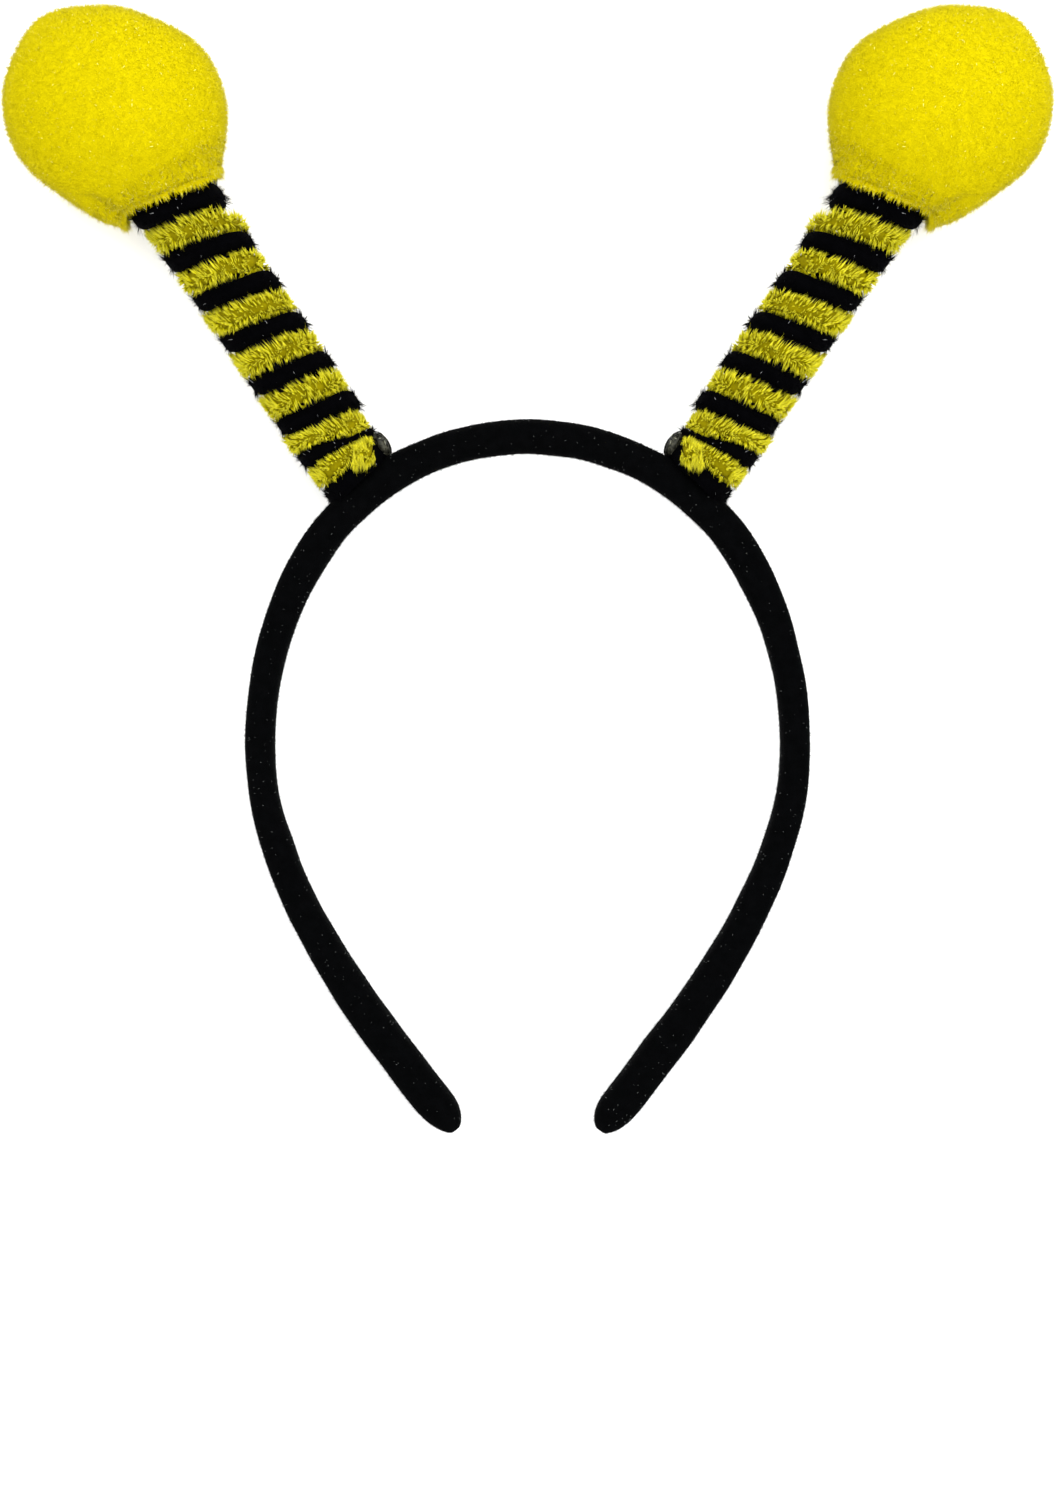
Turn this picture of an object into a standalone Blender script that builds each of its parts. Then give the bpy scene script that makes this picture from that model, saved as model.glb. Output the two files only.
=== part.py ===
"""Bee antenna headband: a cloth-covered hoop with two wound antennae that end in plush balls.

Metres, +Z up. The headband lies on its back as it does on a table: +X is its right, +Y runs
from the tips of the hoop to the balls, and both tips and both balls touch the floor.
Every piece is modelled in the plane of the hoop: x to the right, y from the tips to the crown
and z out of the front. That plane is then tilted and stood on the floor.
"""

import math
from typing import NamedTuple

import bmesh
import bpy
from mathutils import Vector

MM = 0.001

# Distance over which a curve's direction is read
CURVE_STEP = 0.5 * MM

# The hoop's plane leans back by this much, because the balls are thicker than the band.
TILT = math.radians(4.6)

# Band: half of its depth from front to back, and the length over which each edge rounds in
# to the leaf-shaped tip
BAND_HALF_DEPTH = 6.0 * MM
TIP_OUTER_ROUND = 13.0 * MM
TIP_INNER_ROUND = 7.0 * MM
TIP_DEPTH_ROUND = 9.0 * MM
TIP_LAST_SECTION = 0.3 * MM

# Sections of the band: how many round in each tip, how much closer they stand towards its
# end, how many the rest has, and how square they are (1 is an ellipse, 0 a rectangle)
TIP_SECTIONS = 6
TIP_CROWDING = 1.6
BAND_SECTIONS = 52
BAND_SIDES = 12
BAND_ROUNDNESS = 0.6

# Antenna: where its axis meets the outside of the band, and how far it leans outwards
ANTENNA_SEAT_SIDE = 39.8 * MM
ANTENNA_SEAT_UP = 156.2 * MM
ANTENNA_LEAN = math.radians(33.7)

# Hidden post inside the windings
CORE_RADIUS = 4.6 * MM
CORE_FOOT = 0.95 * MM
CORE_TOP = 78.5 * MM
CORE_SIDES = 16

# Chenille stems: two wound side by side, the yellow one prouder than the black one. A stem
# has its steps in each turn, with a tuft at every second one, and its ends are thinner.
STEM_INNER_RADIUS = 5.0 * MM
STEM_STEPS = 16
STEM_SIDES = 8
STEM_GAP = 0.4 * MM
STEM_END_SCALE = 0.6
YELLOW_PROUD = 0.4 * MM
TUFT_RELIEF = 0.3 * MM
BLACK_FIRST_TURN = -0.3125
BLACK_LAST_TURN = 7.3125
YELLOW_FIRST_TURN = -0.25
YELLOW_LAST_TURN = 6.6875

# Pompom: its centre from the antenna's seat, its radius to the hollows between the locks,
# the height of a lock, and the sloped seat that the last black turn presses into it
POMPOM_SIDE = -0.5 * MM
POMPOM_UP = 103.2 * MM
POMPOM_RADIUS = 24.0 * MM
LOCK_HEIGHT = 1.3 * MM
POMPOM_SEAT = 80.0 * MM
POMPOM_SEAT_SLOPE = 0.25
POMPOM_SEAT_RADIUS = 11.6 * MM

# Glue blob between the inner side of the antenna and the band
GLUE_CENTRE = Vector((-9.8, 3.3, 0.5)) * MM
GLUE_HALF_SIZE = Vector((1.5, 2.6, 2.6)) * MM


class BandRow(NamedTuple):
    """One section of the band's right half, in millimetres."""

    side: float
    up: float
    thick: float


BAND_ROWS = (
    BandRow(side=0.0, up=165.9, thick=8.3),
    BandRow(side=17.4, up=163.5, thick=8.1),
    BandRow(side=33.2, up=156.4, thick=8.4),
    BandRow(side=46.0, up=145.0, thick=8.4),
    BandRow(side=55.0, up=130.7, thick=8.2),
    BandRow(side=60.6, up=115.1, thick=7.4),
    BandRow(side=63.2, up=98.8, thick=7.0),
    BandRow(side=62.7, up=82.0, thick=7.1),
    BandRow(side=58.2, up=65.2, thick=7.6),
    BandRow(side=50.4, up=48.3, thick=8.1),
    BandRow(side=39.4, up=30.5, thick=8.8),
    BandRow(side=26.7, up=13.2, thick=9.1),
    BandRow(side=17.2, up=0.5, thick=9.1),
)


class TurnRow(NamedTuple):
    """The black stem at some turns from the antenna's front, in millimetres.

    height is above the seat on the band, half is half of the stem's own height, outer is its
    outer radius, lean is how much higher it lies for each millimetre outwards, and bulge is
    how much further out it reaches on the outer side than on the front.
    """

    turn: float
    height: float
    half: float
    outer: float
    lean: float
    bulge: float


TURN_ROWS = (
    TurnRow(turn=-0.35, height=1.0, half=1.5, outer=8.5, lean=-0.22, bulge=0.5),
    TurnRow(turn=0.0, height=1.9, half=1.5, outer=8.5, lean=-0.22, bulge=0.5),
    TurnRow(turn=0.35, height=3.2, half=1.5, outer=8.6, lean=-0.18, bulge=0.4),
    TurnRow(turn=1.0, height=9.4, half=1.6, outer=9.2, lean=0.0, bulge=0.2),
    TurnRow(turn=1.25, height=10.8, half=1.8, outer=9.4, lean=0.0, bulge=0.0),
    TurnRow(turn=1.75, height=16.0, half=2.3, outer=9.6, lean=0.0, bulge=-0.2),
    TurnRow(turn=2.0, height=18.4, half=2.2, outer=9.6, lean=0.0, bulge=-0.3),
    TurnRow(turn=2.25, height=20.4, half=2.1, outer=9.6, lean=0.0, bulge=-0.3),
    TurnRow(turn=2.75, height=27.3, half=2.3, outer=9.6, lean=0.0, bulge=-0.3),
    TurnRow(turn=3.0, height=29.6, half=2.3, outer=9.6, lean=0.0, bulge=-0.3),
    TurnRow(turn=3.25, height=31.6, half=2.3, outer=9.6, lean=0.0, bulge=-0.3),
    TurnRow(turn=3.75, height=38.1, half=2.5, outer=9.6, lean=0.0, bulge=-0.3),
    TurnRow(turn=4.0, height=41.2, half=2.4, outer=9.6, lean=0.0, bulge=-0.3),
    TurnRow(turn=4.25, height=43.8, half=2.4, outer=9.6, lean=0.0, bulge=-0.3),
    TurnRow(turn=4.75, height=49.6, half=2.5, outer=9.6, lean=0.0, bulge=-0.3),
    TurnRow(turn=5.0, height=52.8, half=2.4, outer=9.6, lean=0.0, bulge=-0.3),
    TurnRow(turn=5.25, height=55.3, half=2.4, outer=9.6, lean=0.0, bulge=-0.3),
    TurnRow(turn=5.75, height=60.7, half=2.4, outer=9.7, lean=0.0, bulge=-0.3),
    TurnRow(turn=6.0, height=64.2, half=2.4, outer=9.8, lean=0.0, bulge=-0.3),
    TurnRow(turn=6.25, height=66.9, half=2.6, outer=10.0, lean=0.0, bulge=-0.2),
    TurnRow(turn=6.75, height=73.8, half=2.9, outer=10.5, lean=0.0, bulge=0.0),
    TurnRow(turn=7.0, height=76.2, half=2.9, outer=10.5, lean=0.0, bulge=0.0),
    TurnRow(turn=7.3, height=78.6, half=2.9, outer=10.4, lean=0.0, bulge=0.0),
    TurnRow(turn=7.5, height=82.0, half=2.8, outer=10.4, lean=0.0, bulge=0.0),
    TurnRow(turn=7.8, height=83.0, half=2.8, outer=10.4, lean=0.0, bulge=0.0),
)


class LobeRow(NamedTuple):
    """A swelling or hollow of the ball.

    angle is its direction in the plane of the hoop, in degrees from up towards the outer
    side, front is how far it turns to the front, lift is in millimetres and spread is the
    angle in degrees over which it fades.
    """

    angle: float
    front: float
    lift: float
    spread: float


LOBE_ROWS = (
    LobeRow(angle=45, front=0, lift=2.8, spread=24),
    LobeRow(angle=90, front=0, lift=1.4, spread=30),
    LobeRow(angle=-118, front=0, lift=2.2, spread=16),
    LobeRow(angle=176, front=0, lift=3.4, spread=13),
    LobeRow(angle=-25, front=0, lift=-1.2, spread=26),
    LobeRow(angle=140, front=0, lift=-1.3, spread=26),
    LobeRow(angle=0, front=-90, lift=0.8, spread=30),
)

# Finishes: colour in linear light, roughness and metallic value
FINISHES = {
    "black_pile_cloth": ((0.004, 0.004, 0.005, 1.0), 0.95, 0.0),
    "black_chenille": ((0.003, 0.003, 0.003, 1.0), 0.9, 0.0),
    "yellow_chenille": ((0.52, 0.45, 0.012, 1.0), 0.85, 0.0),
    "yellow_plush": ((0.86, 0.70, 0.010, 1.0), 0.9, 0.0),
    "set_glue": ((0.30, 0.30, 0.22, 1.0), 0.3, 0.0),
    "dark_plastic": ((0.02, 0.02, 0.02, 1.0), 0.5, 0.0),
}


def clear_scene():
    """Removes every object that the scene starts with."""
    for thing in list(bpy.data.objects):
        bpy.data.objects.remove(thing, do_unlink=True)


def make_finish(name):
    """One Principled material from the table of finishes."""
    colour, roughness, metallic = FINISHES[name]
    finish = bpy.data.materials.new(name)
    finish.use_nodes = True
    shader = finish.node_tree.nodes["Principled BSDF"]
    shader.inputs["Base Color"].default_value = colour
    shader.inputs["Roughness"].default_value = roughness
    shader.inputs["Metallic"].default_value = metallic
    finish.diffuse_color = colour
    return finish


def add_empty(name, parent=None):
    """An empty that carries a group of pieces."""
    empty = bpy.data.objects.new(name, None)
    bpy.context.collection.objects.link(empty)
    empty.parent = parent
    return empty


def add_piece(name, shape, finish, parent):
    """Turns a bmesh into an object with outward faces and smooth shading."""
    bmesh.ops.recalc_face_normals(shape, faces=shape.faces[:])
    mesh = bpy.data.meshes.new(name)
    shape.to_mesh(mesh)
    shape.free()
    mesh.shade_smooth()
    mesh.materials.append(finish)
    piece = bpy.data.objects.new(name, mesh)
    bpy.context.collection.objects.link(piece)
    piece.parent = parent
    return piece


def smooth_value(places, values, at):
    """Reads a smooth curve through values that stand at uneven places.

    Each span is a cubic whose end slopes are those of the parabola through three rows.
    """
    last = len(places) - 1
    span = 0
    while span < last - 1 and at > places[span + 1]:
        span += 1

    def slope(row):
        if row in (0, last):
            other = 1 if row == 0 else last - 1
            return (values[row] - values[other]) / (places[row] - places[other])
        before = places[row] - places[row - 1]
        after = places[row + 1] - places[row]
        rise_before = (values[row] - values[row - 1]) / before
        rise_after = (values[row + 1] - values[row]) / after
        return (rise_before * after + rise_after * before) / (before + after)

    width = places[span + 1] - places[span]
    t = (at - places[span]) / width
    start_slope = slope(span) * width
    end_slope = slope(span + 1) * width
    return (
        (2 * t**3 - 3 * t**2 + 1) * values[span]
        + (t**3 - 2 * t**2 + t) * start_slope
        + (3 * t**2 - 2 * t**3) * values[span + 1]
        + (t**3 - t**2) * end_slope
    )


def skin_sections(sections):
    """Joins a row of closed sections of equal count into one capped body."""
    shape = bmesh.new()
    rings = [[shape.verts.new(point) for point in section] for section in sections]
    sides = len(rings[0])
    for ring, following in zip(rings, rings[1:]):
        for side in range(sides):
            beside = (side + 1) % sides
            shape.faces.new((ring[side], ring[beside], following[beside], following[side]))
    shape.faces.new(rings[0])
    shape.faces.new(rings[-1])
    return shape


def power(value, exponent):
    """A signed power, for sections between an ellipse and a rectangle."""
    return math.copysign(abs(value) ** exponent, value)


def quarter_round(distance, length):
    """Share of the full width at a distance from the end of a rounded tip."""
    if distance >= length:
        return 1.0
    return math.sqrt(1.0 - (1.0 - distance / length) ** 2)


class BandCurve:
    """The centre line of the whole band, read by the distance from its left tip."""

    def __init__(self):
        left = [BandRow(-row.side, row.up, row.thick) for row in BAND_ROWS[:0:-1]]
        self.rows = left + list(BAND_ROWS)
        self.places = [0.0]
        for before, row in zip(self.rows, self.rows[1:]):
            step = math.hypot(row.side - before.side, row.up - before.up) * MM
            self.places.append(self.places[-1] + step)
        self.length = self.places[-1]

    def read(self, column, at):
        """A column of the table at a distance along the band, in metres."""
        return smooth_value(self.places, [getattr(row, column) for row in self.rows], at) * MM

    def centre(self, at):
        """The centre line's point."""
        return Vector((self.read("side", at), self.read("up", at), 0.0))

    def outward(self, at):
        """The direction out of the hoop, square to the centre line."""
        along = self.centre(at + CURVE_STEP) - self.centre(at - CURVE_STEP)
        return Vector((-along.y, along.x, 0.0)).normalized()


def band_section(curve, at):
    """One section of the band: flat inside and outside, with rounded edges."""
    centre = curve.centre(at)
    outward = curve.outward(at)
    to_tip = min(at, curve.length - at)
    half_thick = 0.5 * curve.read("thick", at)
    outer = half_thick * quarter_round(to_tip, TIP_OUTER_ROUND)
    inner = half_thick * quarter_round(to_tip, TIP_INNER_ROUND)
    depth = BAND_HALF_DEPTH * quarter_round(to_tip, TIP_DEPTH_ROUND)
    section = []
    for side in range(BAND_SIDES):
        angle = (side + 0.5) * 2.0 * math.pi / BAND_SIDES
        across = power(math.cos(angle), BAND_ROUNDNESS)
        reach = outer if across > 0 else inner
        front = depth * power(math.sin(angle), BAND_ROUNDNESS)
        section.append(centre + outward * across * reach + Vector((0.0, 0.0, front)))
    return section


def build_band(finish, parent):
    """The hoop, with closer sections where its tips round in."""
    curve = BandCurve()
    tip_span = TIP_OUTER_ROUND - TIP_LAST_SECTION
    tip = [
        TIP_LAST_SECTION + tip_span * (step / TIP_SECTIONS) ** TIP_CROWDING
        for step in range(TIP_SECTIONS)
    ]
    middle_length = curve.length - 2.0 * TIP_OUTER_ROUND
    middle = [
        TIP_OUTER_ROUND + middle_length * step / (BAND_SECTIONS - 1)
        for step in range(BAND_SECTIONS)
    ]
    far_tip = [curve.length - place for place in reversed(tip)]
    places = tip + middle + far_tip
    shape = skin_sections([band_section(curve, place) for place in places])
    return add_piece("band", shape, finish, parent)


def read_turn(column, turn):
    """A column of the table of turns, smooth between its rows."""
    return smooth_value(
        [row.turn for row in TURN_ROWS], [getattr(row, column) for row in TURN_ROWS], turn
    )


def stem_edge(turn, outwards, side):
    """Height of the black stem's upper (side 1) or lower (side -1) edge, in metres.

    outwards is the point's distance from the antenna's axis towards the outer side.
    """
    middle = read_turn("height", turn) * MM + read_turn("lean", turn) * outwards
    return middle + side * read_turn("half", turn) * MM


def black_span(turn, outwards):
    """Lower and upper edge of the black stem."""
    return stem_edge(turn, outwards, -1), stem_edge(turn, outwards, 1)


def pompom_seat(outwards):
    """Height of the sloped seat that the ball has on the last black turn."""
    return POMPOM_SEAT + POMPOM_SEAT_SLOPE * outwards


def yellow_span(turn, outwards):
    """Lower and upper edge of the yellow stem, which fills the groove of the black one."""
    roof = min(stem_edge(turn + 1.0, outwards, -1), pompom_seat(outwards))
    return stem_edge(turn, outwards, 1) + STEM_GAP, roof - STEM_GAP


def stem_section(turn, span, proud, scale, hand):
    """One section of a wound stem, in the antenna's own axes."""
    angle = 2.0 * math.pi * turn
    outer = (read_turn("outer", turn) + read_turn("bulge", turn) * math.sin(angle)) * MM + proud
    middle_radius = 0.5 * (STEM_INNER_RADIUS + outer)
    half_radial = 0.5 * (outer - STEM_INNER_RADIUS)
    corner = 1.0 / math.cos(math.pi / STEM_SIDES)
    section = []
    for side in range(STEM_SIDES):
        around = (side + 0.5) * 2.0 * math.pi / STEM_SIDES
        radius = middle_radius + half_radial * math.cos(around) * corner * scale
        outwards = radius * math.sin(angle)
        low, high = span(turn, outwards)
        height = 0.5 * (low + high) + 0.5 * (high - low) * math.sin(around) * corner * scale
        section.append(Vector((hand * outwards, height, radius * math.cos(angle))))
    return section


def build_stem(name, first, last, span, proud, finish, parent, hand):
    """A chenille stem wound round the core, with a tuft at every second step."""
    steps = round((last - first) * STEM_STEPS)
    sections = []
    for step in range(steps + 1):
        relief = TUFT_RELIEF if step % 2 else 0.0
        scale = STEM_END_SCALE if step in (0, steps) else 1.0
        turn = first + step / STEM_STEPS
        sections.append(stem_section(turn, span, proud - relief, scale, hand))
    return add_piece(name, skin_sections(sections), finish, parent)


def build_core(name, finish, parent):
    """The plain post along the antenna's axis."""
    sections = []
    for height in (CORE_FOOT, CORE_TOP):
        ring = []
        for side in range(CORE_SIDES):
            angle = side * 2.0 * math.pi / CORE_SIDES
            ring.append(
                Vector((CORE_RADIUS * math.sin(angle), height, CORE_RADIUS * math.cos(angle)))
            )
        sections.append(ring)
    return add_piece(name, skin_sections(sections), finish, parent)


def lobe_lift(direction, hand):
    """How far the ball swells in a direction of the hoop's plane axes."""
    lift = 0.0
    for row in LOBE_ROWS:
        angle = math.radians(row.angle)
        front = math.radians(row.front)
        centre = Vector((
            hand * math.sin(angle) * math.cos(front),
            math.cos(angle) * math.cos(front),
            math.sin(front),
        ))
        away = math.degrees(direction.angle(centre))
        lift += row.lift * MM * math.exp(-0.5 * (away / row.spread) ** 2)
    return lift


def build_pompom(name, finish, parent, hand, floor):
    """A ball of short locks, flattened where the antenna and the floor press it.

    floor gives the lowest front coordinate that a point may have for its height along
    the hoop, in the antenna's own axes.
    """
    shape = bmesh.new()
    bmesh.ops.create_icosphere(shape, subdivisions=3, radius=1.0)
    tips = set(bmesh.ops.poke(shape, faces=shape.faces[:])["verts"])
    centre = Vector((hand * POMPOM_SIDE, POMPOM_UP, 0.0))
    unlean = parent.rotation_euler.to_matrix()
    for vert in shape.verts:
        direction = vert.co.normalized()
        radius = POMPOM_RADIUS + lobe_lift(unlean @ direction, hand)
        if vert in tips:
            radius += LOCK_HEIGHT
        point = centre + direction * radius
        across = math.hypot(point.x, point.z)
        if point.y < POMPOM_UP and across < POMPOM_SEAT_RADIUS:
            point.y = max(point.y, pompom_seat(hand * point.x))
        point.z = max(point.z, floor(point))
        vert.co = point
    return add_piece(name, shape, finish, parent)


def build_glue(name, finish, parent, hand):
    """An egg-shaped blob of glue."""
    shape = bmesh.new()
    bmesh.ops.create_uvsphere(shape, u_segments=10, v_segments=7, radius=1.0)
    for vert in shape.verts:
        point = GLUE_CENTRE + GLUE_HALF_SIZE * vert.co
        vert.co = Vector((hand * point.x, point.y, point.z))
    return add_piece(name, shape, finish, parent)


def build_antenna(word, hand, finishes, parent, lift):
    """One antenna with its ball. hand is 1 on the right and -1 on the left."""
    antenna = add_empty(f"antenna_{word}", parent)
    antenna.location = (hand * ANTENNA_SEAT_SIDE, ANTENNA_SEAT_UP, 0.0)
    antenna.rotation_euler = (0.0, 0.0, -hand * ANTENNA_LEAN)
    build_core(f"core_{word}", finishes["dark_plastic"], antenna)
    build_stem(
        f"black_stem_{word}", BLACK_FIRST_TURN, BLACK_LAST_TURN, black_span, 0.0,
        finishes["black_chenille"], antenna, hand,
    )
    build_stem(
        f"yellow_stem_{word}", YELLOW_FIRST_TURN, YELLOW_LAST_TURN, yellow_span, YELLOW_PROUD,
        finishes["yellow_chenille"], antenna, hand,
    )
    to_hoop = antenna.rotation_euler.to_matrix()

    def floor(point):
        up = (to_hoop @ point).y + ANTENNA_SEAT_UP
        return -(lift + up * math.sin(TILT)) / math.cos(TILT)

    build_pompom(f"pompom_{word}", finishes["yellow_plush"], antenna, hand, floor)
    build_glue(f"glue_{word}", finishes["set_glue"], antenna, hand)


def tilted(point):
    """A point of the hoop's plane after the tilt."""
    return Vector((
        point.x,
        point.y * math.cos(TILT) - point.z * math.sin(TILT),
        point.y * math.sin(TILT) + point.z * math.cos(TILT),
    ))


def main():
    """Builds the headband and stands it on the floor, centred on the origin."""
    clear_scene()
    finishes = {name: make_finish(name) for name in FINISHES}
    headband = add_empty("headband")
    headband.rotation_euler = (TILT, 0.0, 0.0)
    band = build_band(finishes["black_pile_cloth"], headband)
    lift = -min(tilted(vert.co).z for vert in band.data.vertices)
    for word, hand in (("left", -1), ("right", 1)):
        build_antenna(word, hand, finishes, headband, lift)
    bpy.context.view_layer.update()
    reach = [
        (piece.matrix_world @ vert.co).y
        for piece in bpy.data.objects
        if piece.type == "MESH"
        for vert in piece.data.vertices
    ]
    headband.location = (0.0, -0.5 * (min(reach) + max(reach)), lift)


main()
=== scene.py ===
"""Bee antenna headband, dressed for its picture.

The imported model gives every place. Over it go the pile cloth of the hoop, the wound chenille
stems of each antenna, the plush balls and the set glue, each as one mesh of skin and fibres.
Metres, +Z up. The hoop lies on its back: +X is its right and +Y runs from tips to crown.
"""

import logging
import math
from dataclasses import dataclass, replace
from enum import Enum
from typing import NamedTuple

import bpy
import numpy as np
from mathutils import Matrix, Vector


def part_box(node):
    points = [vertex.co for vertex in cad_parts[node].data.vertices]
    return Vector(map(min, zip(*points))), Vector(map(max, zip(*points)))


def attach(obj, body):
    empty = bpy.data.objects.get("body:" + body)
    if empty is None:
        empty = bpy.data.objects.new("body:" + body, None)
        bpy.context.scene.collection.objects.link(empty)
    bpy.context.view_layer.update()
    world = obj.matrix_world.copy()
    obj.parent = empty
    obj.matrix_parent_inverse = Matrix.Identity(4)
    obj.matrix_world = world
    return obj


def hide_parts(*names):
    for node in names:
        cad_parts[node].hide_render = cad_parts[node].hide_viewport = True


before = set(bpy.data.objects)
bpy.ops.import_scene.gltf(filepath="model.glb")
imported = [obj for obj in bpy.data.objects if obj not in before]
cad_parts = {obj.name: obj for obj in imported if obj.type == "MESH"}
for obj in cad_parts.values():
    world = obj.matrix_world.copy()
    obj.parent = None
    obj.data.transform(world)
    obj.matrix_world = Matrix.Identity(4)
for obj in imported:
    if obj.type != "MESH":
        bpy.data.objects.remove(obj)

Array = np.ndarray
LOG = logging.getLogger("headband")

MM = 0.001
BODY = "root"

# Values that the fibres' finishes read at each point, and the name of the pieces' map of places
ALONG = "along"
SHADE = "shade"
BAKE_MAP = "OFBake"

# Share of that map's height that skins take, the rest being for fibres
SKIN_SHARE = 0.5
FIBRE_MAP_MARGIN = 0.02
FIBRE_MAP_HALF_WIDTH = 0.012

# Order of a piece's two finishes
GROUND_SLOT = 0
FIBRE_SLOT = 1

# Least and greatest width of a fibre, as shares of the named one
WIDTH_SPREAD = (0.7, 1.3)

# Waves in a ripple, with their least and greatest frequency as shares of the mean
RIPPLE_WAVES = 10
RIPPLE_SPREAD = (0.6, 1.5)

# Middle of the values that a noise texture gives
NOISE_MEAN = 0.5

# Cosine from which an axis counts as close to a pole
NEAR_POLE = 0.9
GOLDEN_ANGLE = math.pi * (3.0 - math.sqrt(5.0))


class Hand(Enum):
    """Side of the hoop that an antenna stands on."""

    LEFT = -1
    RIGHT = 1

    @property
    def word(self) -> str:
        """The side's name as it ends the names of pieces."""
        return self.name.lower()


def unit(vectors: Array) -> Array:
    """Vectors scaled to length one."""
    return vectors / np.maximum(np.linalg.norm(vectors, axis=-1, keepdims=True), 1e-12)


def signed_power(values: Array, exponent: float) -> Array:
    """Powers that keep their sign, for sections between an ellipse and a rectangle."""
    return np.sign(values) * np.abs(values) ** exponent


def quarter_round(distance: Array, length: float) -> Array:
    """Share of the full width at a distance from the end of a rounded tip."""
    left = 1.0 - np.clip(distance / length, 0.0, 1.0)
    return np.sqrt(np.maximum(1.0 - left**2, 0.0))


def bell(distance: Array, spread: float) -> Array:
    """A bell curve: 1 in its middle and less with the distance from it."""
    return np.exp(-0.5 * (distance / spread) ** 2)


def ring_angles(sides: int, offset: float = 0.0) -> Array:
    """Angles of a ring's points, the first one a share of a step on."""
    return (np.arange(sides) + offset) * 2.0 * math.pi / sides


def globe(rows: int, sides: int, pole_gap: float) -> Array:
    """Directions all round a centre, in rings about an antenna's own axis.

    Args:
        rows: how many rings there are, from below to above.
        sides: how many directions a ring has.
        pole_gap: angle left open at each pole, in radians.

    Returns:
        The directions, as rows by sides by 3.
    """
    polar = np.linspace(math.pi - pole_gap, pole_gap, rows)[:, None]
    turn = ring_angles(sides)[None]
    return np.stack(np.broadcast_arrays(
        np.sin(polar) * np.sin(turn), np.cos(polar), np.sin(polar) * np.cos(turn)
    ), -1)


def crosswise(axes: Array, pole: tuple[float, float, float]) -> tuple[Array, Array]:
    """Two directions square to each axis and to each other.

    Args:
        axes: directions of length one.
        pole: what the first of the two is square to as well, unless the axis is close to it.

    Returns:
        The two directions.
    """
    close = np.abs((axes * pole).sum(axis=-1, keepdims=True)) >= NEAR_POLE
    first = unit(np.cross(axes, np.where(close, (1.0, 0.0, 0.0), pole)))
    return first, np.cross(axes, first)


def varied(width: float, count: int, rng: np.random.Generator) -> Array:
    """Widths of fibres that each differ a little from the named one."""
    return width * rng.uniform(*WIDTH_SPREAD, count)


class SmoothTable:
    """Rows of a NamedTuple, read smoothly between their places."""

    def __init__(self, rows: tuple, places: Array | list[float]) -> None:
        """Works out each column's slope at each row.

        Args:
            rows: the table's rows, all of one NamedTuple class.
            places: where each row stands, in rising order.
        """
        self.places = np.asarray(places, float)
        self.columns = {}
        width = np.diff(self.places)
        for name in rows[0]._fields:
            values = np.array([getattr(row, name) for row in rows], float)
            rise = np.diff(values) / width
            inner = (rise[:-1] * width[1:] + rise[1:] * width[:-1]) / (width[:-1] + width[1:])
            slopes = np.concatenate((rise[:1], inner, rise[-1:]))
            self.columns[name] = (values, slopes)

    def read(self, column: str, at: Array) -> Array:
        """Reads one column.

        Args:
            column: the field's name.
            at: places to read it at.

        Returns:
            The column's values there, on a cubic curve through the rows.
        """
        values, slopes = self.columns[column]
        span = np.clip(np.searchsorted(self.places, at, side="right") - 1, 0, len(values) - 2)
        width = self.places[span + 1] - self.places[span]
        t = (at - self.places[span]) / width
        return (
            (2 * t**3 - 3 * t**2 + 1) * values[span]
            + (t**3 - 2 * t**2 + t) * slopes[span] * width
            + (3 * t**2 - 2 * t**3) * values[span + 1]
            + (t**3 - t**2) * slopes[span + 1] * width
        )


class Ripple:
    """A smooth random field in space, from about -1 to 1."""

    def __init__(self, seed: int, wavelength: float) -> None:
        """Draws the waves that add up to the field.

        Args:
            seed: the draw's seed.
            wavelength: mean length of a wave, in the unit of the points.
        """
        rng = np.random.default_rng(seed)
        heading = unit(rng.normal(size=(RIPPLE_WAVES, 3)))
        frequency = rng.uniform(*RIPPLE_SPREAD, (RIPPLE_WAVES, 1))
        self.waves = heading * (2.0 * math.pi / wavelength) * frequency
        self.phase = rng.uniform(0.0, 2.0 * math.pi, RIPPLE_WAVES)

    def at(self, points: Array) -> Array:
        """The field's values at points."""
        total = np.sin(points @ self.waves.T + self.phase).sum(axis=-1)
        return total / math.sqrt(len(self.phase))


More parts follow.
